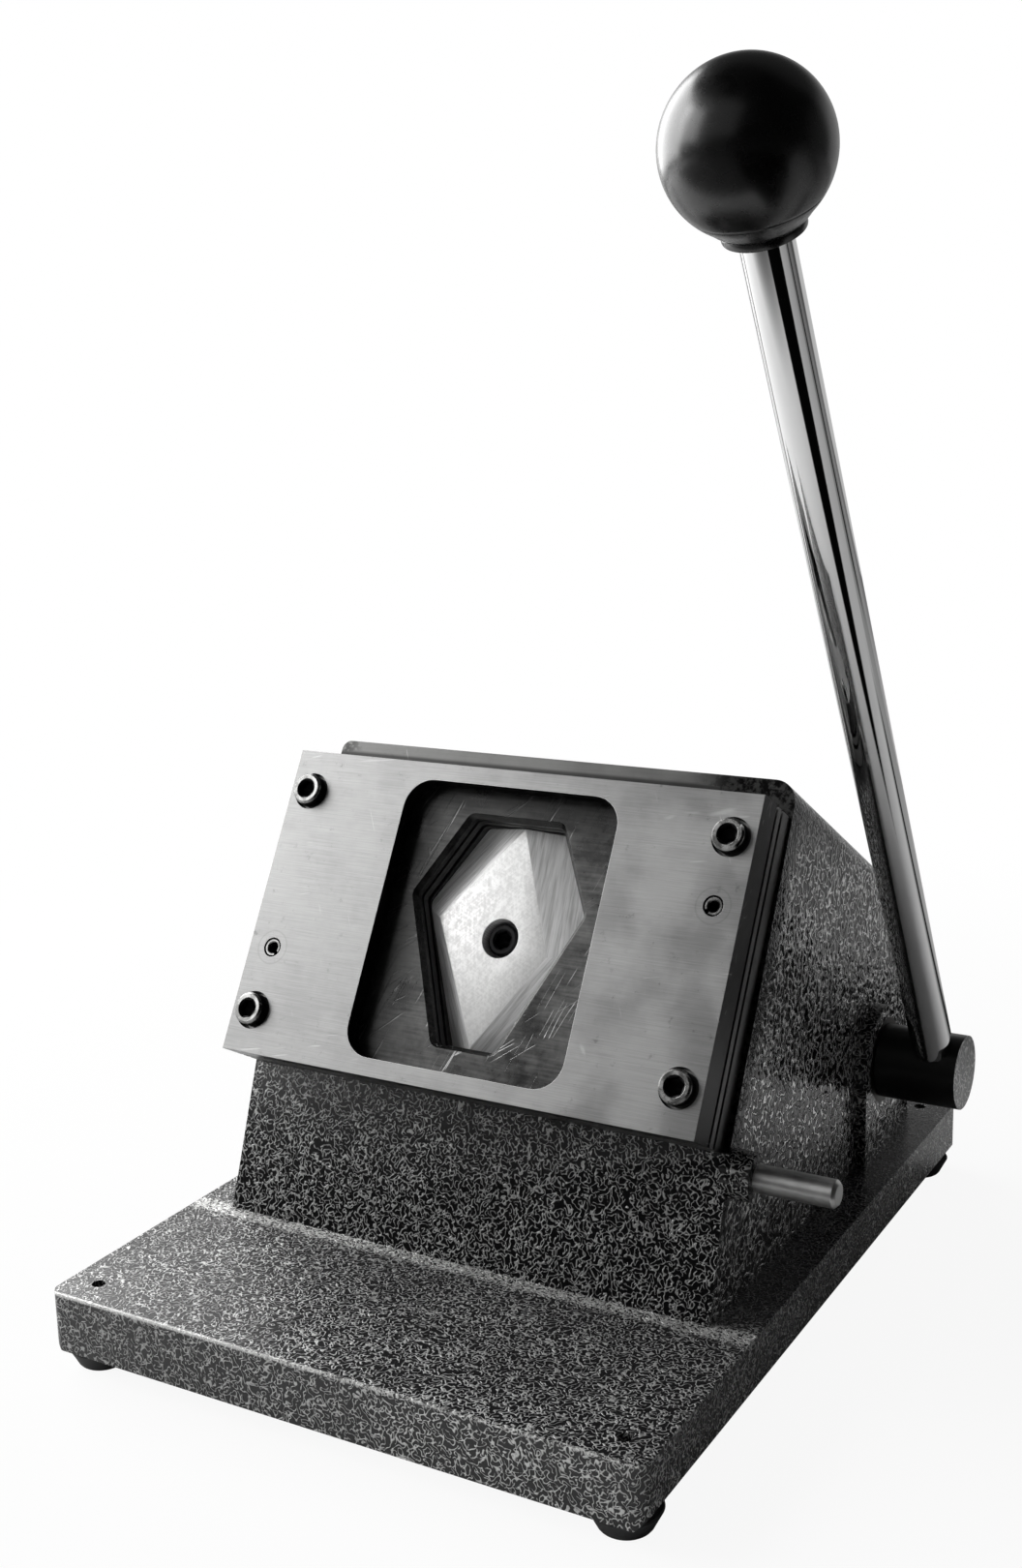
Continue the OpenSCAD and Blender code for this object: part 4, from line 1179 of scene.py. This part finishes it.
COVER_X, COVER_Z, COVER_T = 61 * MM, (10 * MM, 62 * MM), 4 * MM
cover_places = []
for side in (-1, 1):
    for z in COVER_Z:
        place = Matrix.Translation(BASE_FRONT + Vector((side * COVER_X, HOUSING_REAR + COVER_T, z)))
        cover_places.append(place @ Matrix.Rotation(-math.pi / 2, 4, "X"))
button = button_screw(head_d=9, head_h=3, shank_d=4.9, length=10, key=3)
cover_screws = scattered(
    "cover_screws_set", button, cover_places, bright_steel, spin=KEY_TURN, seed=5,
)
claim(cover_screws, "cover_screws")
print("cover screws:", len(cover_places))

# %% [markdown]
# The return springs are squeezed as the ram moves forward. Here they are a plain copy of the CAD
# coils, with no edges rounded, on the body of their node.

# %% Return springs
springs = softened("return_springs", 0.01, lambda middle, edge: 0.0, segments=1)
claim(springs, "return_springs")
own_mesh(springs)

# %% [markdown]
# The picture is cut out on white, so the background is plain white light that only the camera
# sees. What the steel and chrome mirror is another matter: a dark room with a bright wall behind,
# a glow at the left and a few large lamps, as in a photographer's tent, gives them their contrast.
# Light that falls on rough surfaces comes from a dim room, dimmer still from the upper right, so
# that the right wall stays dark. Each zone is a mask made from the direction that a ray looks in,
# whose three parts run from -1 to 1.

# %% World
WHITE = linear("#ffffff")
world = bpy.data.worlds.new("studio")
scene.world = world
world.use_nodes = True
tree = world.node_tree
tree.nodes.clear()
rightward, behind, upward = add(tree, "SeparateXYZ", add(tree, "TexCoord", out="Generated"), out=slice(3))
back_wall = all_of(
    tree, add(tree, "MapRange", behind, 0.05, 0.5), add(tree, "MapRange", rightward, 0.48, 0.62, 1.0, 0.12),
    add(tree, "MapRange", upward, 0.25, 0.6, 1.0, 0.1),
)
left_glow = all_of(
    tree, add(tree, "MapRange", rightward, -0.42, -0.66, 0.0, 1.1),
    add(tree, "MapRange", upward, 0.4, 0.75, 1.0, 0.1), add(tree, "MapRange", behind, 0.1, 0.4),
)
wall_level = add(tree, "MapRange", back_wall, 0.0, 1.0, 0.01, 0.55, interpolation_type="LINEAR")
upper_right = all_of(
    tree, add(tree, "MapRange", upward, 0.15, 0.6), add(tree, "MapRange", rightward, -0.1, 0.4),
)
room_level = add(tree, "MapRange", upper_right, 0.0, 1.0, 0.13, 0.02, interpolation_type="LINEAR")
ray = add(tree, "LightPath", out=None).outputs
dim = add(tree, "Background", WHITE, room_level)
mirrored = add(tree, "Background", WHITE, any_of(tree, wall_level, left_glow))
shiny = any_of(tree, ray["Is Glossy Ray"], ray["Is Transmission Ray"])
lit = add(tree, "MixShader", shiny, dim, mirrored)
seen = add(tree, "MixShader", ray["Is Camera Ray"], lit, add(tree, "Background", WHITE, 1.0))
add(tree, "OutputWorld", seen)
print("world:", len(tree.nodes), "nodes")

# %% [markdown]
# The floor is almost all white glow to the camera, with a little real shading mixed in near the
# object, so that it keeps a soft shadow under the base. To every other ray it is white paper.

# %% Floor
FLOOR_HALF = 3.0
SHADING_NEAR = (0.2, 0.6)                 # metres from the middle, from most shading to none
floor_finish, tree = new_material("white_paper_floor")
middle_out = add(
    tree, "VectorMath", add(tree, "TexCoord", out="Object"), operation="LENGTH", out="Value",
)
glow_share = all_of(
    tree, add(tree, "LightPath", out="Is Camera Ray"),
    add(tree, "MapRange", middle_out, *SHADING_NEAR, 0.92, 1.0),
)
paper = add(tree, "BsdfDiffuse", linear("#f4f4f4"))
add(tree, "OutputMaterial", add(tree, "MixShader", glow_share, paper, add(tree, "Emission", WHITE, 1.0)))


def sheet(name, x, y, z, finish):
    """A flat rectangle from x[0] to x[1] and from y[0] to y[1]."""
    mesh = bpy.data.meshes.new(name)
    corners = [(x[0], y[0], z), (x[1], y[0], z), (x[1], y[1], z), (x[0], y[1], z)]
    mesh.from_pydata(corners, [], [(0, 1, 2, 3)])
    mesh.materials.append(finish)
    made = new_object(name, mesh)
    return made


sheet("floor", (-FLOOR_HALF, FLOOR_HALF), (-FLOOR_HALF, FLOOR_HALF), 0.0, floor_finish)
print("floor:", 2 * FLOOR_HALF, "metres square")

# %% [markdown]
# Chrome is only as good as what it mirrors. On white paper the lever's rod would be white all
# over, so a black sheet lies on the floor in front and on the right as a painted reflection of
# shade: its left edge and its slanting rear edge draw the dark band down the middle of the rod.
# Some zones of it are half black, as paler stuff would be, and soften the band towards the front,
# the rear and the right. Only mirror-like rays see the sheet. Places on it are in metres.

# %% Black sheet for the chrome: a painted reflection of shade
SHADE_SHEET_X, SHADE_SHEET_Y, SHADE_SHEET_Z = (-1.2, 2.4), (-2.4, 0.9), 0.001
SHADE_SHEET_SLOPE = 0.33
reflected_shade_finish, tree = new_material("black_cloth")
x, y = add(tree, "SeparateXYZ", add(tree, "TexCoord", out="Object"), out=slice(2))
rear_line = add(tree, "Math", y, all_of(tree, x, SHADE_SHEET_SLOPE), operation="ADD")
beyond = any_of(
    tree, add(tree, "MapRange", x, 0.225, 0.205), add(tree, "MapRange", rear_line, 0.07, 0.1),
)
half_black = any_of(
    tree,
    all_of(tree, near(tree, y, 0.56, 0.26), add(tree, "MapRange", x, 0.55, 0.7)),
    all_of(tree, near(tree, y, 0.28, 0.11), add(tree, "MapRange", x, 0.5, 0.4)),
    add(tree, "MapRange", y, -0.21, -0.3, 0.0, 0.85),
    add(tree, "MapRange", y, 0.24, 0.34, 0.0, 0.35),
)
clear_share = add(tree, "Math", beyond, half_black, operation="SUBTRACT", use_clamp=True)
# Black that only reflections see: painted shade in the mirrored floor.
reflected_shade_black, clear = add(tree, "BsdfDiffuse", linear("#080808")), add(tree, "BsdfTransparent")
add(tree, "OutputMaterial", add(tree, "MixShader", clear_share, reflected_shade_black, clear))
shade_sheet_object = sheet("black_cloth", SHADE_SHEET_X, SHADE_SHEET_Y, SHADE_SHEET_Z, reflected_shade_finish)
shade_sheet_object.visible_camera = shade_sheet_object.visible_diffuse = shade_sheet_object.visible_shadow = False
print("cloth:", round(SHADE_SHEET_X[1] - SHADE_SHEET_X[0], 2), "by", round(SHADE_SHEET_Y[1] - SHADE_SHEET_Y[0], 2), "metres")

# %% [markdown]
# The lamps are soft boxes. Each is given the brightness of its face, where 1 is as bright as white
# paper, because that is what a plate or a knob mirrors, and its power follows from its area. The
# key lamp at the upper left whitens the left of the plate. A weak one in front fills the right of
# the plate. A large window straight to the left draws the bright stripe of the rod and the knob's
# highlight, and it is kept out of the picture.

# %% Lamps
AIM = BASE_FRONT + Vector((0, 110, 80)) * MM


def lamp(name, place, size, brightness):
    """A rectangular soft box that looks at the middle of the object."""
    light = bpy.data.lights.new(name, "AREA")
    light.shape = "RECTANGLE"
    light.size, light.size_y = size
    light.energy = brightness * math.pi * size[0] * size[1]
    made = bpy.data.objects.new(name, light)
    scene.collection.objects.link(made)
    made.location = place
    made.rotation_mode = "QUATERNION"
    made.rotation_quaternion = (Vector(place) - AIM).to_track_quat("Z", "Y")
    return made


lamp("key_left", place=(-1.28, -0.93, 0.95), size=(0.95, 1.0), brightness=2.75)
lamp("front_fill", place=(-0.35, -1.1, 0.95), size=(1.4, 1.0), brightness=0.24)
window = lamp("window_left", place=(-1.5, 0.15, 0.85), size=(1.9, 1.5), brightness=5.2)
window.visible_camera = False
